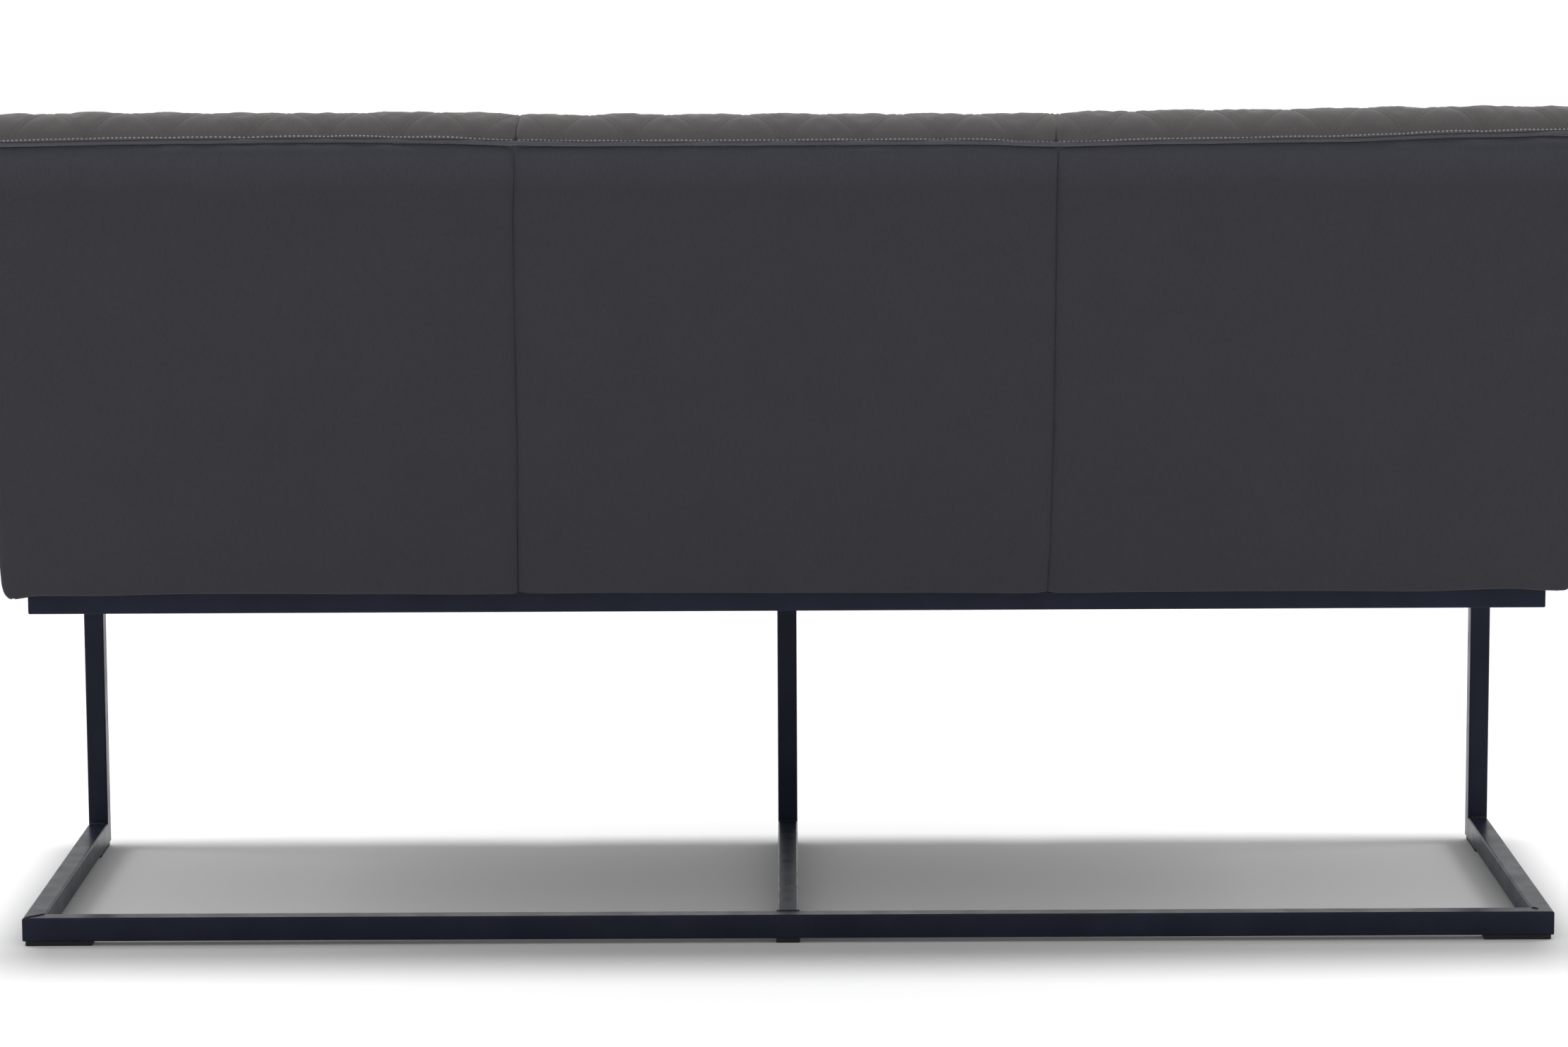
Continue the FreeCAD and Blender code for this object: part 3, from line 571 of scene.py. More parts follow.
class QuiltPanel:
    """One panel of a quilted cover, at places across it (x) and along its roll."""

    def __init__(self, part, side, roll, start):
        self.part = part
        self.side = side
        self.roll = roll
        self.start = start
        self.seed = 10 * (side + 2) + (0 if part == "back" else 100)

    def tautness(self, along):
        """1 on the roll, where the cover is stretched tight, down to 0 further along."""
        ahead = self.roll.lead - along
        past = along - self.roll.lead - self.roll.arc
        return 1 - np.clip(np.maximum(ahead, past) / TAUT_REACH, 0, 1)

    def pillow(self, x, along):
        """0 on the sewn lines, 1 in the middle of each diamond."""
        columns = 2 * x / DIAMOND_WIDTH + DIAMONDS
        rows = 2 * along / DIAMOND_LENGTH
        rise = ((columns + rows + 1) / 2) % 1
        fall = ((columns - rows - 1) / 2) % 1
        return (16 * rise * (1 - rise) * fall * (1 - fall)) ** PILLOW_POWER

    def lift(self, x, along):
        """How far the quilted face stands off the foam."""
        taut = self.tautness(along)
        puff = PUFF * (1 - (1 - TAUT_PUFF_SHARE) * taut)
        draw_in = SIDE_DRAW_IN * (1 - (1 - TAUT_DRAW_SHARE) * taut)
        across = np.minimum(1, np.abs(2 * x / PANEL_WIDTH))
        pillow = self.pillow(x, along)
        lift = QUILT_THICKNESS - draw_in * across ** 6 + puff * pillow * (1 - across ** 12)
        seam_depth = SEAM_DEPTH * (1 - TAUT_SEAM_SHARE * taut)
        if self.part == "back":
            seam_depth = seam_depth + REAR_SEAM_EXTRA * np.exp(-(along / REAR_SEAM_REACH) ** 2)
        seam_round = SEAM_ROUND * (1 - TAUT_SEAM_SHARE * taut)
        lift = lift - seam_depth * rounded((PANEL_WIDTH / 2 - np.abs(x)) / seam_round)
        to_end = self.roll.length - along
        lift = lift - END_DRAW_IN * np.clip(1 - to_end / END_DRAW_REACH, 0, 1) ** 2
        if self.part == "back":
            crest = smooth_curve(CREST_STATIONS, CREST_WAVE, x + self.side * PANEL_WIDTH)
            lift = lift + crest * np.exp(-((along - CREST_ALONG) / CREST_REACH) ** 2)
            lift = lift - END_DRAW_IN * np.clip(1 - along / END_DRAW_REACH, 0, 1) ** 2
        else:
            lift = lift - CREASE_DEPTH * rounded((along - self.start) / CREASE_ROUND)
        place = stacked(x, along, 0)
        for turn, (size, scale) in enumerate(FACE_WAVES):
            lift = lift + size * waves(place, scale, self.seed + turn)
        return lift

    def place(self, x, along, lift):
        """A point of the frame, with the welt's waves and the lean of the one seam."""
        half = PANEL_WIDTH / 2 - SEAM_GAP
        x = np.clip(x, -half, half) + self.side * PANEL_WIDTH
        if self.part == "back":
            fade = eased(1 - along / LEAN_REACH)
            near_seam = np.exp(-((x - PANEL_WIDTH / 2) / SEAM_LEAN_SPREAD) ** 2)
            lean = SEAM_LEAN * near_seam * (
                SEAM_LEAN_AT_WELT + (1 - SEAM_LEAN_AT_WELT) * eased(along / CREST_ALONG)
            )
            drift = DRIFT * np.exp(-((x - DRIFT_MIDDLE) / DRIFT_SPREAD) ** 2)
            x = x - (lean + drift) * fade
            along = along + welt_angle(x) * ROLL_OUTER_RADIUS * eased(1 - along / WELT_FADE)
        return self.roll.points(x, along, lift)

    def face(self, x, along):
        return self.place(x, along, self.lift(x, along))

    def normals(self, x, along):
        step = 0.8 * MM
        across = self.face(x + step, along) - self.face(x - step, along)
        forward = self.face(x, along + step) - self.face(x, along - step)
        return unit(np.cross(forward, across))


def quilt_lattice(first_row, last_row):
    """A lattice whose edges run along the sewn lines: (column, row) of each vertex, and faces."""
    columns = range(2 * STEPS * DIAMONDS + 1)
    spots = [(column, row) for row in range(first_row, last_row + 1) for column in columns]
    places = [spot for spot in spots if (sum(spot) + STEPS) % 2 == 0]
    index = {spot: number for number, spot in enumerate(places)}
    faces = []
    for column, row in spots:
        if (column + row + STEPS) % 2:
            ring = [(column, row - 1), (column - 1, row), (column, row + 1), (column + 1, row)]
            corners = tuple(index[spot] for spot in ring if spot in index)
            if len(corners) > 2:
                faces.append(corners)
    return np.array(places, float), faces


def sewn(columns, rows):
    """Which lattice vertices lie on a rising and on a falling sewn line."""
    rising = np.rint((columns + rows + STEPS) / 2).astype(int)
    falling = np.rint((columns - rows - STEPS) / 2).astype(int)
    return rising, falling


def inflate(vertices, faces, pinned):
    """Let the cloth between the sewn lines swell over its padding, with a little slack."""
    mesh = bpy.data.meshes.new("swelling")
    mesh.from_pydata([tuple(v) for v in vertices], [], faces)
    cover = in_scene("swelling", mesh)
    group = cover.vertex_groups.new(name="sewn")
    group.add([int(i) for i in np.flatnonzero(pinned)], 1.0, "REPLACE")
    swell = cover.modifiers.new("swell", "CLOTH")
    for key, value in SWELL_SETTINGS.items():
        setattr(swell.settings, key, value)
    swell.settings.effector_weights.gravity = 0
    swell.point_cache.frame_start = 1
    swell.point_cache.frame_end = SWELL_FRAMES
    for step in range(1, SWELL_FRAMES + 1):
        bpy.context.scene.frame_set(step)
    depsgraph = bpy.context.evaluated_depsgraph_get()
    swollen = cover.evaluated_get(depsgraph).to_mesh()
    moved = np.empty(len(vertices) * 3)
    swollen.vertices.foreach_get("co", moved)
    bpy.data.objects.remove(cover)
    bpy.context.scene.frame_set(1)
    return moved.reshape(-1, 3)


def thread_dashes(starts, ends, normals, radius):
    """Short sewn stitches: each a slim spindle that sits on the cloth."""
    along = ends - starts
    across = unit(np.cross(normals, along))
    rings = []
    for share, size in ((0.1, 0), (0.25, 1), (0.75, 1), (0.9, 0)):
        middle = starts + along * share + normals * radius * (0.6 if size else -0.4)
        if size:
            side, rise = across * radius, normals * radius
            rings += [middle + side, middle + rise, middle - side, middle - rise]
        else:
            rings.append(middle)
    vertices = np.stack(rings, axis=1).reshape(-1, 3)
    faces = []
    for stitch in range(len(starts)):
        base = stitch * 10
        low, high = base + 1, base + 5
        for side in range(4):
            after = (side + 1) % 4
            faces.append((base, low + after, low + side))
            faces.append((low + side, low + after, high + after, high + side))
            faces.append((base + 9, high + side, high + after))
    return vertices, faces


def lattice_edges_on_lines(places, faces):
    """Pairs of neighbouring lattice vertices along the sewn lines."""
    lines = sewn(places[:, 0], places[:, 1])
    pairs = {
        (min(start, end), max(start, end))
        for start, end in edges_of(faces)
        if any(line[start] == line[end] and line[start] % STEPS == 0 for line in lines)
    }
    return np.array(sorted(pairs))


def quilted_panel(panel, name, first_row, last_row):
    """The mesh of one panel, and the threads along its sewn lines."""
    places, faces = quilt_lattice(first_row, last_row)
    columns, rows = places[:, 0], places[:, 1]
    x = (columns / (2 * STEPS) - DIAMONDS / 2) * DIAMOND_WIDTH
    from_seam = PANEL_WIDTH / 2 - np.abs(x)
    crowding = (1 - np.exp(-from_seam / MM)) * np.exp(-from_seam / SEAM_CROWDING_REACH)
    x = x + np.sign(x) * SEAM_CROWDING * crowding
    along = np.clip(rows / (2 * STEPS) * DIAMOND_LENGTH, panel.start, panel.roll.length)
    outer = panel.face(x, along)
    inner = panel.place(x, along, np.full_like(x, FIT / 2))
    pairs = lattice_edges_on_lines(places, faces)
    normals = panel.normals(x[pairs[:, 0]], along[pairs[:, 0]])
    stitches = thread_dashes(outer[pairs[:, 0]], outer[pairs[:, 1]], normals, STITCH_RADIUS)
    rising, falling = sewn(columns, rows)
    on_line = (rising % STEPS == 0) | (falling % STEPS == 0)
    at_side = np.abs(x) > PANEL_WIDTH / 2 - SEAM_ROUND
    at_edge = at_side | (rows <= first_row + 1) | (rows >= last_row - 1)
    step = inflate(outer, faces, on_line | at_edge) - outer
    size = np.maximum(np.linalg.norm(step, axis=1), COVER_MARGIN)
    cap = SWELL_CAP * (1 - (1 - TAUT_PUFF_SHARE) * panel.tautness(along))
    outer = outer + step * np.minimum(1, cap / size)[:, None]
    shells = [closed_sheet(outer, inner, faces)]
    if panel.part == "seat":
        shells.append(front_hem(panel.side))
    nodes = [panel.part + "_quilt_" + name]
    label = panel.part + "_quilt_cover_" + name
    cover = piece(label, *joined(*shells), "quilted_fabric", nodes)
    return stitches


def welt_stitches(panel):
    """A row of stitches on the quilted cover, close beside the piping."""
    reach = PANEL_WIDTH / 2 - 3 * MM
    starts = np.arange(-reach, reach, WELT_STITCH_PITCH)
    along = np.full_like(starts, WELT_STITCH_SET_IN)
    ends = starts + WELT_STITCH_PITCH * WELT_STITCH_SHARE
    first, second = panel.face(starts, along), panel.face(ends, along)
    return thread_dashes(first, second, panel.normals(starts, along), WELT_STITCH_RADIUS)


def quilting():
    row = DIAMOND_LENGTH / (2 * STEPS)
    seat_rear = seat_crease_forward()
    top_row = []
    for part, roll, start in (("back", back_roll, -WELT_OVERLAP), ("seat", seat_roll, seat_rear)):
        stitches = []
        first_row, last_row = math.floor(start / row), math.ceil(roll.length / row)
        for name, side in SIDES.items():
            panel = QuiltPanel(part, side, roll, start)
            stitches.append(quilted_panel(panel, name, first_row, last_row))
            if part == "back":
                top_row.append(welt_stitches(panel))
        piece(part + "_quilting_thread", *joined(*stitches), "quilted_fabric", material=thread)
    piece("welt_top_stitching", *joined(*top_row), "quilted_fabric", material=top_thread)


def seat_crease_forward():
    """Where the seat cushion meets the quilted back, forward of the floor rail's rear face."""
    depth = BACK_FOAM_FRONT + QUILT_THICKNESS + PUFF + FIT
    rise = (SEAT_FOAM_TOP - BASE_Z - depth * SINE) / COSINE
    return BACK_SET_IN - rise * SINE + depth * COSINE


# Foam under the covers

FOAM_EASE = 2 * MM
FOAM_EASE_REACH = 8 * MM
FOAM_FOOT_GAP = 6 * MM
BACK_SLAB_SET_IN = 22 * MM


def foam_block(name, start, end, profile, node):
    """A foam block with its edges eased, swept along X from a profile of (y, z) points."""
    middle = profile.mean(axis=0)
    out = profile - middle
    rings = []
    for x in np.linspace(start, end, 12):
        near_end = 1 - np.clip(min(x - start, end - x) / FOAM_EASE_REACH, 0, 1)
        shrunk = middle + out * (1 - near_end * FOAM_EASE / np.abs(out).max())
        rings.append(stacked(x, *shrunk.T))
    made = piece(name, *swept(rings), "foam", [node], smooth=False)


def foam_arc(depth, height, start, count):
    """The roll of a foam block, seen from its end, from an angle round to its front."""
    angles = np.linspace(start, math.pi, count)
    radius = FOAM_ROLL_RADIUS - FIT
    return stacked(-depth + radius * np.cos(angles), height + radius * np.sin(angles))


def back_foam_profile():
    foot = BACK_TAIL_END + FOAM_FOOT_GAP
    slab_rear = REAR_COVER + BACK_SLAB_SET_IN
    slab = [(-slab_rear, foot), (-slab_rear, ROLL_HEIGHT), (-REAR_COVER, ROLL_HEIGHT)]
    arc = foam_arc(ROLL_DEPTH, ROLL_HEIGHT, back_roll.start, 14)
    local = np.vstack([arc, [(-BACK_FOAM_FRONT + FIT, foot)], slab])
    return lay_back(stacked(0, *local.T))[:, 1:]


def seat_foam_profile():
    rear_low = seat_crease_forward() + (SEAT_FOAM_TOP - FOAM_BOTTOM) * SINE / COSINE
    rear = [(-rear_low, FOAM_BOTTOM), (-seat_crease_forward(), SEAT_FOAM_TOP - FIT)]
    front = [(-SEAT_FOAM_FRONT + FIT, FOAM_BOTTOM)]
    arc = foam_arc(SEAT_LEAD, SEAT_ROLL_HEIGHT, math.pi / 2, 10)
    return np.vstack([rear, arc, front]) + np.array([REAR_Y, 0])


def foams():
    for part, profile in (("back", back_foam_profile()), ("seat", seat_foam_profile())):
        for name in SIDES:
            node = part + "_foam_" + name
            low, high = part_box(node)
            foam_block(part + "_foam_block_" + name, low.x + FIT, high.x - FIT, profile, node)


# Hems, turned under the seat and up to the dust sheet

HEM_THICKNESS = 0.5 * MM
HEM_END = 0.85 * MM
HEM_OVERLAP = 6 * MM
END_FOLD = 3.6 * MM
END_FOLD_EXTRA = {-1: 1.0 * MM, 1: 3.5 * MM}
END_FOLD_REACH = 25 * MM
FRONT_FOLD = 2.2 * MM

# Each fold's section: shares of its width, inwards, and of its depth, down
REAR_FOLD_SHARES = [(0, 0.96), (0.25, 0.9), (0.5, 0.6), (0.75, 0.2)]
FRONT_FOLD_SHARES = [(-0.03, 0.0), (0.08, 0.6), (0.25, 1), (0.5, 0.9), (0.75, 0.4)]
END_FOLD_SHARES = [
    (0, 0), (0.05, 0.36), (0.18, 0.66), (0.38, 0.88), (0.6, 1), (0.78, 0.8), (0.91, 0.35),
]


def turned_under(stations, place, depths, shares, width):
    """A strip of cloth along its stations: it hangs in a low fold and turns in, ending level."""
    rows = []
    for station, depth in zip(stations, depths):
        section = [(inward * width, -down * depth) for inward, down in shares]
        section += [(width, HEM_END), (width + HEM_OVERLAP, HEM_END)]
        rows.append([place(station, inward, up) for inward, up in section])
    outer = np.array(rows).reshape(-1, 3)
    inner = outer + np.array([0, 0, HEM_THICKNESS])
    return closed_sheet(outer, inner, grid_faces(len(rows), len(rows[0])))


def hem_stations(side):
    """Places along X for a panel's hem, which stops at the folds of the ends."""
    limit = DUST_HIGH.x
    start = max((side - 0.5) * PANEL_WIDTH + SEAM_GAP, -limit)
    end = min((side + 0.5) * PANEL_WIDTH - SEAM_GAP, limit)
    return np.linspace(start, end, 60)


def rear_hem(side):
    rear = REAR_Y - BACK_SET_IN - REAR_COVER * 0.7
    width = rear - DUST_HIGH.y
    x = hem_stations(side)

    def place(at, inward, up):
        return at, rear - inward, BASE_Z + up

    return turned_under(x, place, hem_sag(x), REAR_FOLD_SHARES, width)


def front_hem(side):
    front = REAR_Y - SEAT_FOAM_FRONT - (QUILT_THICKNESS - END_DRAW_IN) + 1 * MM
    width = DUST_LOW.y - front
    x = hem_stations(side)
    depth = FRONT_FOLD + 0.7 * MM * waves_along(x, 120 * MM, 61)

    def place(at, inward, up):
        return at, front + inward, BASE_Z + up

    return turned_under(x, place, depth, FRONT_FOLD_SHARES, width)


def end_hem(side):
    """The loose fold under an end, which hangs lowest beside the rear cover."""
    edge = HALF_WIDTH - SIDE_COVER + FIT
    width = edge - DUST_HIGH.x
    rear = REAR_Y - BACK_SET_IN - REAR_COVER
    y = np.linspace(rear, REAR_Y - SEAT_FOAM_FRONT, 90)
    depth = END_FOLD + END_FOLD_EXTRA[side] * np.exp((y - rear) / END_FOLD_REACH)
    depth = depth + 0.5 * MM * waves_along(y, 90 * MM, 63)

    def place(at, inward, up):
        return side * (edge - inward), at, BASE_Z + up

    return turned_under(y, place, depth, END_FOLD_SHARES, width)


# Plain covers

# How the rear cover's face departs from its even place: depths, and their reach
CROWN = 1.6 * MM
SEAM_DRAWS = ((3.2 * MM, 4 * MM), (0.8 * MM, 30 * MM))
TOP_DRAWS = ((2.6 * MM, 3.5 * MM), (2.4 * MM, 14 * MM))
FOOT_ROUND = 2.8 * MM
REAR_WAVES = ((0.5 * MM, 260 * MM, 3), (0.12 * MM, 60 * MM, 4))
LEAST_COVER = 0.7 * MM
REAR_WELT_FADE = 70 * MM


def drawn_in(distance, draws):
    """How far the cloth is drawn in, at this distance from what holds it."""
    return sum(depth * np.exp(-distance / reach) for depth, reach in draws)


def packed_ends(length, count, crowding=0.9):
    """Places from 0 to the length, close together at both ends."""
    share = np.linspace(0, 1, count)
    return length * (share - crowding * np.sin(2 * math.pi * share) / (2 * math.pi))


def rear_panel(side, name):
    """The plain rear cover: tight over the back, pulled in and puckered along its seams."""
    columns, rows = 121, 111
    half = PANEL_WIDTH / 2 - SEAM_GAP
    outer_radius = FOAM_ROLL_RADIUS + REAR_COVER
    length = ROLL_HEIGHT + (WELT_LIFT - PIPING_HALF_ANGLE) * outer_radius
    across = packed_ends(2 * half, columns) - half
    even, x_local = np.meshgrid(packed_ends(length, rows), across, indexing="ij")
    x = x_local + side * PANEL_WIDTH
    from_top = length - even
    top_shift = welt_angle(x) * outer_radius * eased(1 - from_top / REAR_WELT_FADE)
    along = even + top_shift - hem_sag(x) * eased(1 - even / HEM_REACH)
    if side:
        near_end = np.clip(1 - (half - side * x_local) / TUCK_REACH, 0, 1)
        x = x - side * corner_tuck(along * COSINE) * near_end ** 2
    for seam, bows in REAR_SEAM_BOWS.items():
        near = np.exp(-((x - seam * PANEL_WIDTH / 2) / REAR_SEAM_SPREAD) ** 2)
        x = x + seam * np.interp(along * COSINE, REAR_SEAM_HEIGHTS, bows) * near
    from_seam = half - np.abs(x_local)
    place = stacked(x, along, 0)
    seed = 300 + 7 * side
    lift = CROWN * (1 - np.abs(x_local / half) ** 4) - drawn_in(from_seam, SEAM_DRAWS)
    beside_seam = np.exp(-from_seam / (16 * MM)) * np.clip(from_seam / (3 * MM), 0, 1)
    lift += 0.5 * MM * waves_along(along, 34 * MM, seed + 1) * beside_seam
    lift -= drawn_in(from_top, TOP_DRAWS)
    lift += 0.35 * MM * waves_along(x, 40 * MM, seed + 2) * np.exp(-from_top / (22 * MM))
    lift -= FOOT_ROUND * rounded(even / FOOT_ROUND)
    lift += sum(size * waves(place, scale, seed + turn) for size, scale, turn in REAR_WAVES)
    lift = np.maximum(lift, LEAST_COVER - REAR_COVER)

    def placed(offset):
        on_arc = np.clip(along - ROLL_HEIGHT, 0, None)
        angle = on_arc / outer_radius
        radius = outer_radius + offset
        y = -ROLL_DEPTH + radius * np.cos(angle)
        z = np.minimum(along, ROLL_HEIGHT) + radius * np.sin(angle)
        return lay_back(stacked(x, y, z)).reshape(-1, 3)

    inner = placed(np.full_like(x, FIT - REAR_COVER))
    panel = closed_sheet(placed(lift), inner, grid_faces(rows, columns))
    shells = joined(panel, rear_hem(side))
    cover = piece("rear_panel_" + name, *shells, "plain_fabric", ["rear_cover_" + name])


def along_lines(grid):
    """Distance of each point of a grid of places from the nearer end of its row or column."""
    distance = []
    for axis in (0, 1):
        first, last = np.take(grid, [0], axis), np.take(grid, [-1], axis)
        distance.append(np.linalg.norm(grid - first, axis=-1))
        distance.append(np.linalg.norm(grid - last, axis=-1))
    return np.minimum.reduce(distance)


END_DRAW = ((2.2 * MM, 2.5 * MM),)
BACK_END_CROWN, SEAT_END_CROWN = 1.6 * MM, 1.8 * MM
END_CROWN_REACH = 12 * MM
END_SET_IN = 0.8 * MM
BACK_END_ANGLES = np.radians([12, 24, 36, 48, 60, 70, 78, 85])
SEAT_END_ANGLES = np.radians([15, 30, 45, 60, 72, 82, 89])
SEAT_END_SET_IN = 8 * MM


def end_panel(name, side, grid, node, crown, hems):
    """The cloth over one end, from a grid of (y, z) places: softly crowned, drawn in at its foot."""
    rim = along_lines(grid)
    swell = crown * (1 - np.exp(-rim / END_CROWN_REACH)) - drawn_in(rim, END_DRAW)
    reach = HALF_WIDTH - END_SET_IN + swell - corner_tuck(grid[..., 1] - BASE_Z)
    timber_face = HALF_WIDTH - SIDE_COVER
    reach = np.maximum(reach, timber_face + 5 * COVER_MARGIN)
    outer = np.concatenate([(side * reach)[..., None], grid], axis=-1).reshape(-1, 3)
    inner = outer.copy()
    inner[:, 0] = side * (timber_face + COVER_MARGIN)
    free = np.clip((np.abs(outer[:, 0]) - timber_face) / (3 * MM), 0, 1)
    outer[:, 0] += side * 0.28 * MM * waves(outer, 120 * MM, 500 + side) * free
    panel = closed_sheet(outer, inner, grid_faces(*grid.shape[:2]))
    cover = piece(name, *joined(panel, *hems), "plain_fabric", [node])


def back_end_grid():
    """Places over the end of the back, from the base of the seat to the top of the roll."""
    depth = np.linspace(REAR_COVER - FIT + COVER_MARGIN, BACK_FOAM_FRONT - COVER_MARGIN, 17)
    rows = []
    for share in packed_ends(1, 40, 0.6):
        foot = -depth * SINE / COSINE
        rows.append(stacked(-depth, foot + (ROLL_HEIGHT - foot) * share))
    spread = (depth - ROLL_DEPTH) / FOAM_ROLL_RADIUS
    for angle in BACK_END_ANGLES:
        height = ROLL_HEIGHT + FOAM_ROLL_RADIUS * math.sin(angle)
        across = -ROLL_DEPTH - FOAM_ROLL_RADIUS * math.cos(angle) * spread
        rows.append(stacked(across, height))
    local = np.array(rows)
    return lay_back(stacked(0, local[..., 0], local[..., 1]))[..., 1:]


def seat_end_grid():
    """Places over the end of the seat, from the foot of the back to the rounded front."""
    heights = list(np.linspace(BASE_Z, FOAM_BOTTOM - FIT, 8))
    heights += list(np.linspace(FOAM_BOTTOM + FIT, SEAT_ROLL_HEIGHT, 12))
    heights += list(SEAT_ROLL_HEIGHT + FOAM_ROLL_RADIUS * np.sin(SEAT_END_ANGLES))
    rows = []
    for z in heights:
        depth = BACK_FOAM_FRONT + (SEAT_END_SET_IN if z > FOAM_BOTTOM else 0)
        rise = (z - BASE_Z - depth * SINE) / COSINE
        rear = BACK_SET_IN - rise * SINE + depth * COSINE
        over = max(0.0, z - SEAT_ROLL_HEIGHT)
        front = SEAT_LEAD + math.sqrt(max(FOAM_ROLL_RADIUS ** 2 - over ** 2, 0))
        y = REAR_Y - rear - packed_ends(front - rear, 33, 0.7)
        rows.append(stacked(y, z))
    return np.array(rows)


def piping():
    """Corded piping along the welt, a little uneven, with its ends tucked in."""
    x = np.linspace(-HALF_WIDTH + FIT, HALF_WIDTH - FIT, 420)
    angle = WELT_LIFT + welt_angle(x)
    y = -ROLL_DEPTH + WELT_RADIUS * np.cos(angle)
    z = ROLL_HEIGHT + WELT_RADIUS * np.sin(angle)
    points = lay_back(stacked(x, y, z))
    size = PIPING_RADIUS * (1 + 0.05 * waves_along(x, 30 * MM, 77))
    from_seam = np.min(np.abs(np.subtract.outer(x, [-PANEL_WIDTH / 2, PANEL_WIDTH / 2])), axis=1)
    size = size * (1 - 0.12 * np.exp(-from_seam / (3 * MM)))
    size[0] = size[-1] = PIPING_RADIUS * 0.5
    turns = np.linspace(0, 2 * math.pi, 18, endpoint=False)
    circle = stacked(0, np.cos(turns), np.sin(turns))
    rings = [point + reach * circle for point, reach in zip(points, size)]
    piece("welt_piping", *swept(rings), "piping_fabric", ["top_piping"])


DUST_SAG = 0.12 * MM
DUST_SAG_REACH = 40 * MM
DUST_DROP = 0.35 * MM
DUST_THICKNESS = 0.25 * MM


def dust_sheet():
    """The black cloth under the seat, stapled all round and sagging a little between."""
    columns, rows = 83, 24
    x, y = np.meshgrid(
        np.linspace(DUST_LOW.x, DUST_HIGH.x, columns), np.linspace(DUST_LOW.y, DUST_HIGH.y, rows),
    )
    edge = np.minimum.reduce([x - DUST_LOW.x, DUST_HIGH.x - x, y - DUST_LOW.y, DUST_HIGH.y - y])
    place = stacked(x, y, 0)
    sag = DUST_SAG * (1 - np.exp(-edge / DUST_SAG_REACH)) * np.abs(1 + waves(place, 90 * MM, 41))
    z = DUST_HIGH.z - DUST_DROP - sag
    outer = stacked(x, y, z - DUST_THICKNESS).reshape(-1, 3)
    inner = stacked(x, y, z).reshape(-1, 3)
    shells = closed_sheet(outer, inner, grid_faces(rows, columns))
    cover = piece("dust_sheet", *shells, "dust_cloth", ["dust_cover"])


def staples():
    """Wire staples that hold the dust sheet, in a row along each of its edges."""
    inset, length, pitch, radius = 5 * MM, 9 * MM, 32 * MM, 0.5 * MM
    x = np.arange(DUST_LOW.x + 4 * inset, DUST_HIGH.x - 4 * inset, pitch)
    y = np.arange(DUST_LOW.y + 4 * inset, DUST_HIGH.y - 4 * inset, pitch)
    z = BASE_Z + DUST_DROP
    wires = []
    for edge in (DUST_LOW.y + inset, DUST_HIGH.y - inset):
        wires += [((at, edge, z), (at + length, edge, z)) for at in x]
    for edge in (DUST_LOW.x + inset, DUST_HIGH.x - inset):
        wires += [((edge, at, z), (edge, at + length, z)) for at in y]
    down = np.tile([0.0, 0.0, -1.0], (len(wires), 1))
    shells = thread_dashes(*np.array(wires).swapaxes(0, 1), down, radius)
    piece("staples", *shells, "zinc_steel")


def plain_covers():
    for name, side in SIDES.items():
        rear_panel(side, name)
    for name, side in ENDS.items():
        for part, grid, crown, hems in (
            ("back", back_end_grid(), BACK_END_CROWN, []),
            ("seat", seat_end_grid(), SEAT_END_CROWN, [end_hem(side)]),
        ):
            node = "side_cover_" + part + "_" + name
            end_panel(part + "_end_panel_" + name, side, grid, node, crown, hems)
    piping()
    dust_sheet()
    staples()


# Weld beads of the steel frame

# The part of each mitre that its bead takes up, from the outer corner
MITRE_BEAD_SHARES = {-1: (0.62, 0.97), 1: (0.04, 0.97)}
BEAD_INSET = 1.5 * MM


def weld_bead(start, end, up, width=3.2 * MM, height=1.3 * MM, ripple=1.6 * MM):
    """A low bead of overlapping ripples between two points, rising along up."""
    start, end, up = np.array(start), np.array(end), np.array(up, float)
    up /= np.linalg.norm(up)
    length = np.linalg.norm(end - start)
    across = np.cross((end - start) / length, up)
    count = max(8, int(length / ripple) * 6)
    turns = np.linspace(0, 2 * math.pi, 8, endpoint=False)
    rings = []
    for share in np.linspace(0, 1, count):
        phase = (share * length / ripple) % 1
        swell = 0.78 + 0.22 * math.sin(math.pi * phase)
        taper = min(1, share * length / width, (1 - share) * length / width) ** 0.5
        size = max(swell * taper, 0.05)
        section = np.outer(np.cos(turns), across * width / 2) + np.outer(np.sin(turns), up * height)
        rings.append(start + (end - start) * share + section * size)
    return swept(rings)


def weld_beads():
    """Beads where the tubes meet: on the mitres, and round the butted ends of the middle tubes."""
    half = TUBE_WIDTH / 2
    low, high = RUNNER_BOTTOM + BEAD_INSET, RUNNER_TOP - BEAD_INSET
    front = RAIL_FRONT_Y
    reach = half + BEAD_INSET
    lines = [((-reach, front, RUNNER_TOP), (reach, front, RUNNER_TOP), (0, 0, 1), 4 * MM)]
    for side in ENDS.values():
        inner_x = side * (FRAME_HALF_WIDTH - TUBE_WIDTH)
        for x, out in ((side * half, side), (inner_x, -side)):
            lines.append(((x, front, low), (x, front, high), (out, -1, 0)))
        inner = np.array([inner_x, front, RUNNER_TOP])
        outer = np.array([side * (FRAME_HALF_WIDTH - BEAD_INSET), REAR_Y - BEAD_INSET, RUNNER_TOP])
        first, last = (outer + (inner - outer) * share for share in MITRE_BEAD_SHARES[side])
        lines.append((first, last, (0, 0, 1), 3.6 * MM))
    for side in SIDES.values():
        middle = side * (FRAME_HALF_WIDTH - half)
        left, right = middle - half + BEAD_INSET, middle + half - BEAD_INSET
        for z, rise in ((RUNNER_TOP, 1), (BEARER_BOTTOM, -1)):
            lines.append(((left, LEG_REAR_Y, z), (right, LEG_REAR_Y, z), (0, 1, rise)))
    beads = [weld_bead(*line) for line in lines]
    piece("weld_beads", *joined(*beads), "frame_steel", material=weld)


# Stage, light and camera

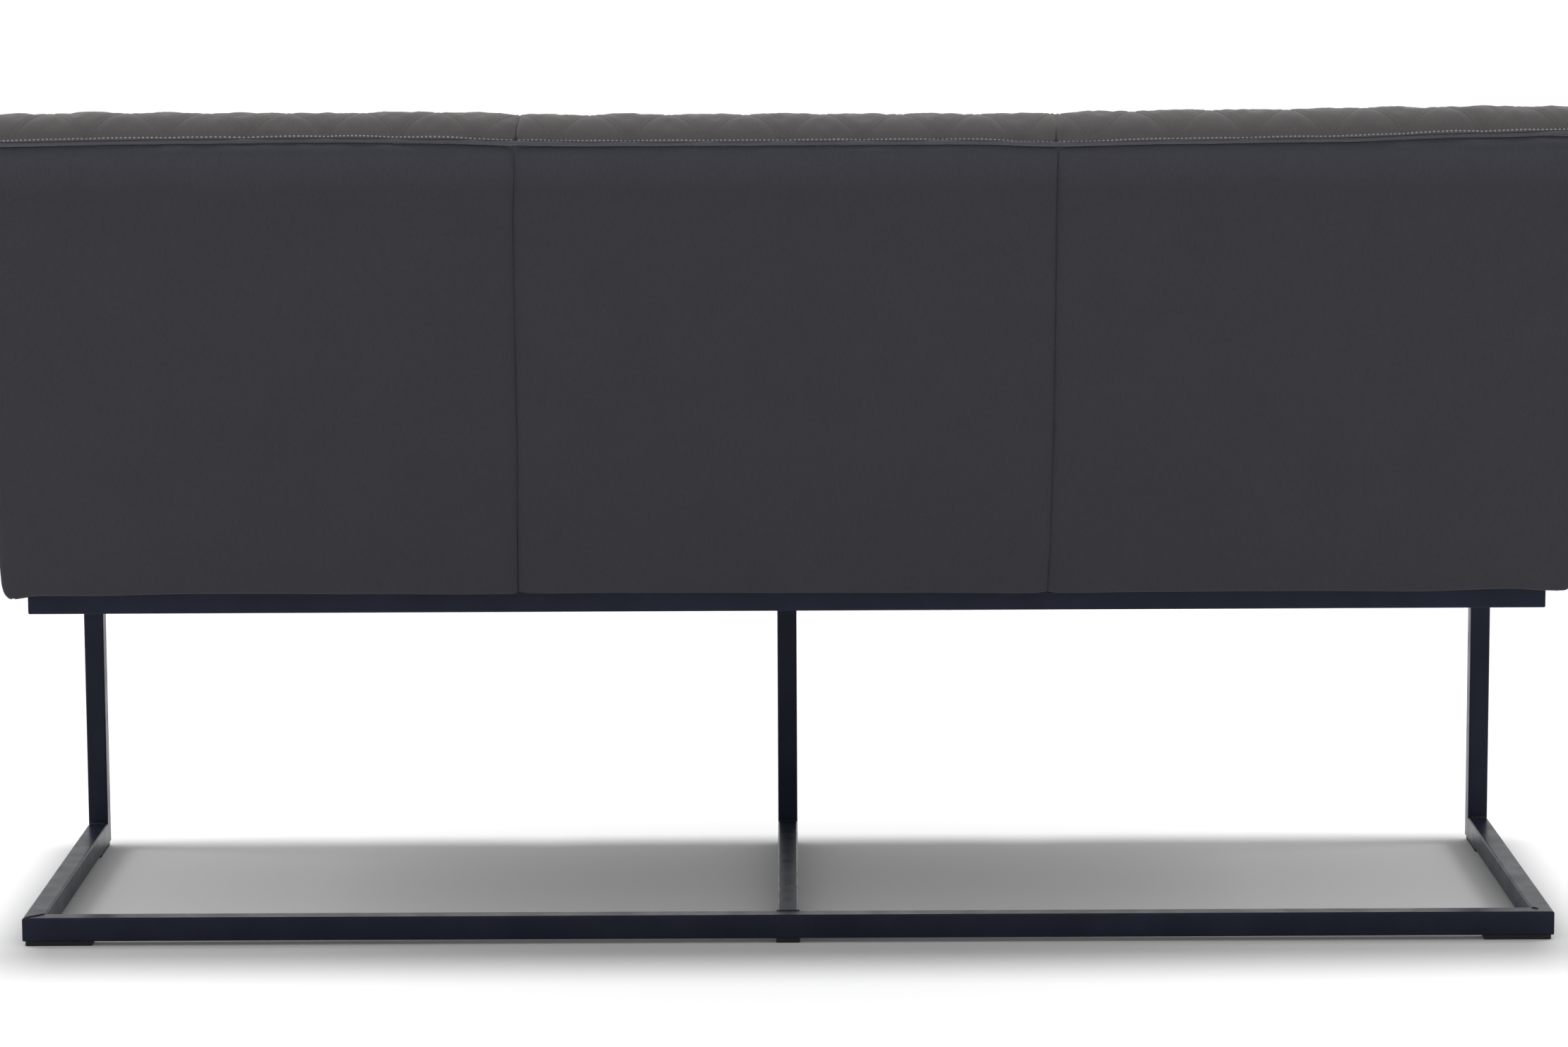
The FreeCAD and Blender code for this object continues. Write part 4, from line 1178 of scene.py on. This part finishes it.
FLOOR_REACH = 80
FLOOR_COLOUR = 0.88
FLOOR_GLOW = 0.03
SUN_STRENGTH = 2.1
SUN_ANGLE = math.radians(11)
SUN_TILT = math.radians(4.6)
SIDE_LIGHT_POWER = 6.0
SIDE_LIGHT_SIZE = 0.6
SIDE_LIGHT_PLACE = (1.9, -0.2, 1.25)
SIDE_LIGHT_AIM = Vector((0, 0, 0.8))
AMBIENT = 0.53
WHITE = (1, 1, 1, 1)


def seen_directly(tree, *kinds):
    """1 for the rays that show the background itself, 0 for those that only light by it."""
    rays = tree.nodes.new("ShaderNodeLightPath")
    seen = rays.outputs["Is Camera Ray"]
    for kind in kinds:
        seen = math_node(tree, "MAXIMUM", seen, rays.outputs[kind])
    return seen


def floor():
    corners = [(-1, -1), (1, -1), (1, 1), (-1, 1)]
    mesh = bpy.data.meshes.new("floor")
    mesh.from_pydata([(FLOOR_REACH * x, FLOOR_REACH * y, 0) for x, y in corners], [], [(0, 1, 2, 3)])
    made, tree, shader = node_material("pale_floor")
    fed(shader, Base_Color=(FLOOR_COLOUR,) * 3 + (1,), Roughness=0.9, Specular_IOR_Level=0.0)
    strength = math_node(tree, "MULTIPLY", seen_directly(tree, "Is Glossy Ray"), FLOOR_GLOW)
    glow = add(tree, "ShaderNodeEmission", Color=WHITE, Strength=strength)
    both = tree.nodes.new("ShaderNodeAddShader")
    tree.links.new(shader.outputs["BSDF"], both.inputs[0])
    tree.links.new(glow.outputs["Emission"], both.inputs[1])
    tree.links.new(both.outputs["Shader"], tree.nodes["Material Output"].inputs["Surface"])
    mesh.materials.append(made)
    in_scene("floor", mesh)


def lights():
    sun = bpy.data.lights.new("soft_overhead", "SUN")
    sun.energy = SUN_STRENGTH
    sun.angle = SUN_ANGLE
    in_scene("soft_overhead", sun).rotation_euler = (SUN_TILT, 0, 0)
    for side in ENDS.values():
        soft = bpy.data.lights.new("side_light", "AREA")
        soft.energy = SIDE_LIGHT_POWER
        soft.size = SIDE_LIGHT_SIZE
        lamp = in_scene("side_light", soft)
        place = Vector(SIDE_LIGHT_PLACE)
        place.x *= side
        lamp.location = place
        lamp.rotation_euler = (SIDE_LIGHT_AIM - place).to_track_quat("-Z", "Y").to_euler()
    world = bpy.data.worlds.new("studio")
    bpy.context.scene.world = world
    world.use_nodes = True
    tree = world.node_tree
    seen = seen_directly(tree, "Is Glossy Ray", "Is Transmission Ray")
    shown = math_node(tree, "MULTIPLY", seen, 1 - AMBIENT)
    fed(tree.nodes["Background"], Color=WHITE, Strength=math_node(tree, "ADD", shown, AMBIENT))


# The camera that the photograph was taken with, fitted to the bench's edges
CAMERA_BEHIND = 5.049
CAMERA_HEIGHT = 1.145
CAMERA_X = -0.003
CAMERA_PITCH = math.radians(7.92)
CAMERA_YAW = math.radians(0.06)
CAMERA_ROLL = math.radians(-0.27)
FOCAL_PIXELS = 6991
PHOTO_WIDTH = 2220
SENSOR = 36
CLIP_END = 300


def camera():
    ahead = Vector((
        math.sin(CAMERA_YAW) * math.cos(CAMERA_PITCH),
        -math.cos(CAMERA_YAW) * math.cos(CAMERA_PITCH),
        -math.sin(CAMERA_PITCH),
    ))
    right = Vector((-math.cos(CAMERA_YAW), -math.sin(CAMERA_YAW), 0))
    up = right.cross(ahead)
    turned_right = right * math.cos(CAMERA_ROLL) + up * math.sin(CAMERA_ROLL)
    turned_up = up * math.cos(CAMERA_ROLL) - right * math.sin(CAMERA_ROLL)
    lens = bpy.data.cameras.new("photo_camera")
    lens.sensor_width = SENSOR
    lens.lens = FOCAL_PIXELS / PHOTO_WIDTH * SENSOR
    lens.clip_end = CLIP_END
    axes = Matrix((turned_right, turned_up, -ahead)).transposed().to_4x4()
    place = Matrix.Translation((CAMERA_X, REAR_Y + CAMERA_BEHIND, CAMERA_HEIGHT))
    made = in_scene("photo_camera", lens)
    made.matrix_world = place @ axes
    bpy.context.scene.camera = made


camera()
quilting()
foams()
plain_covers()
weld_beads()
floor()
lights()
bpy.context.scene.view_settings.view_transform = "Standard"
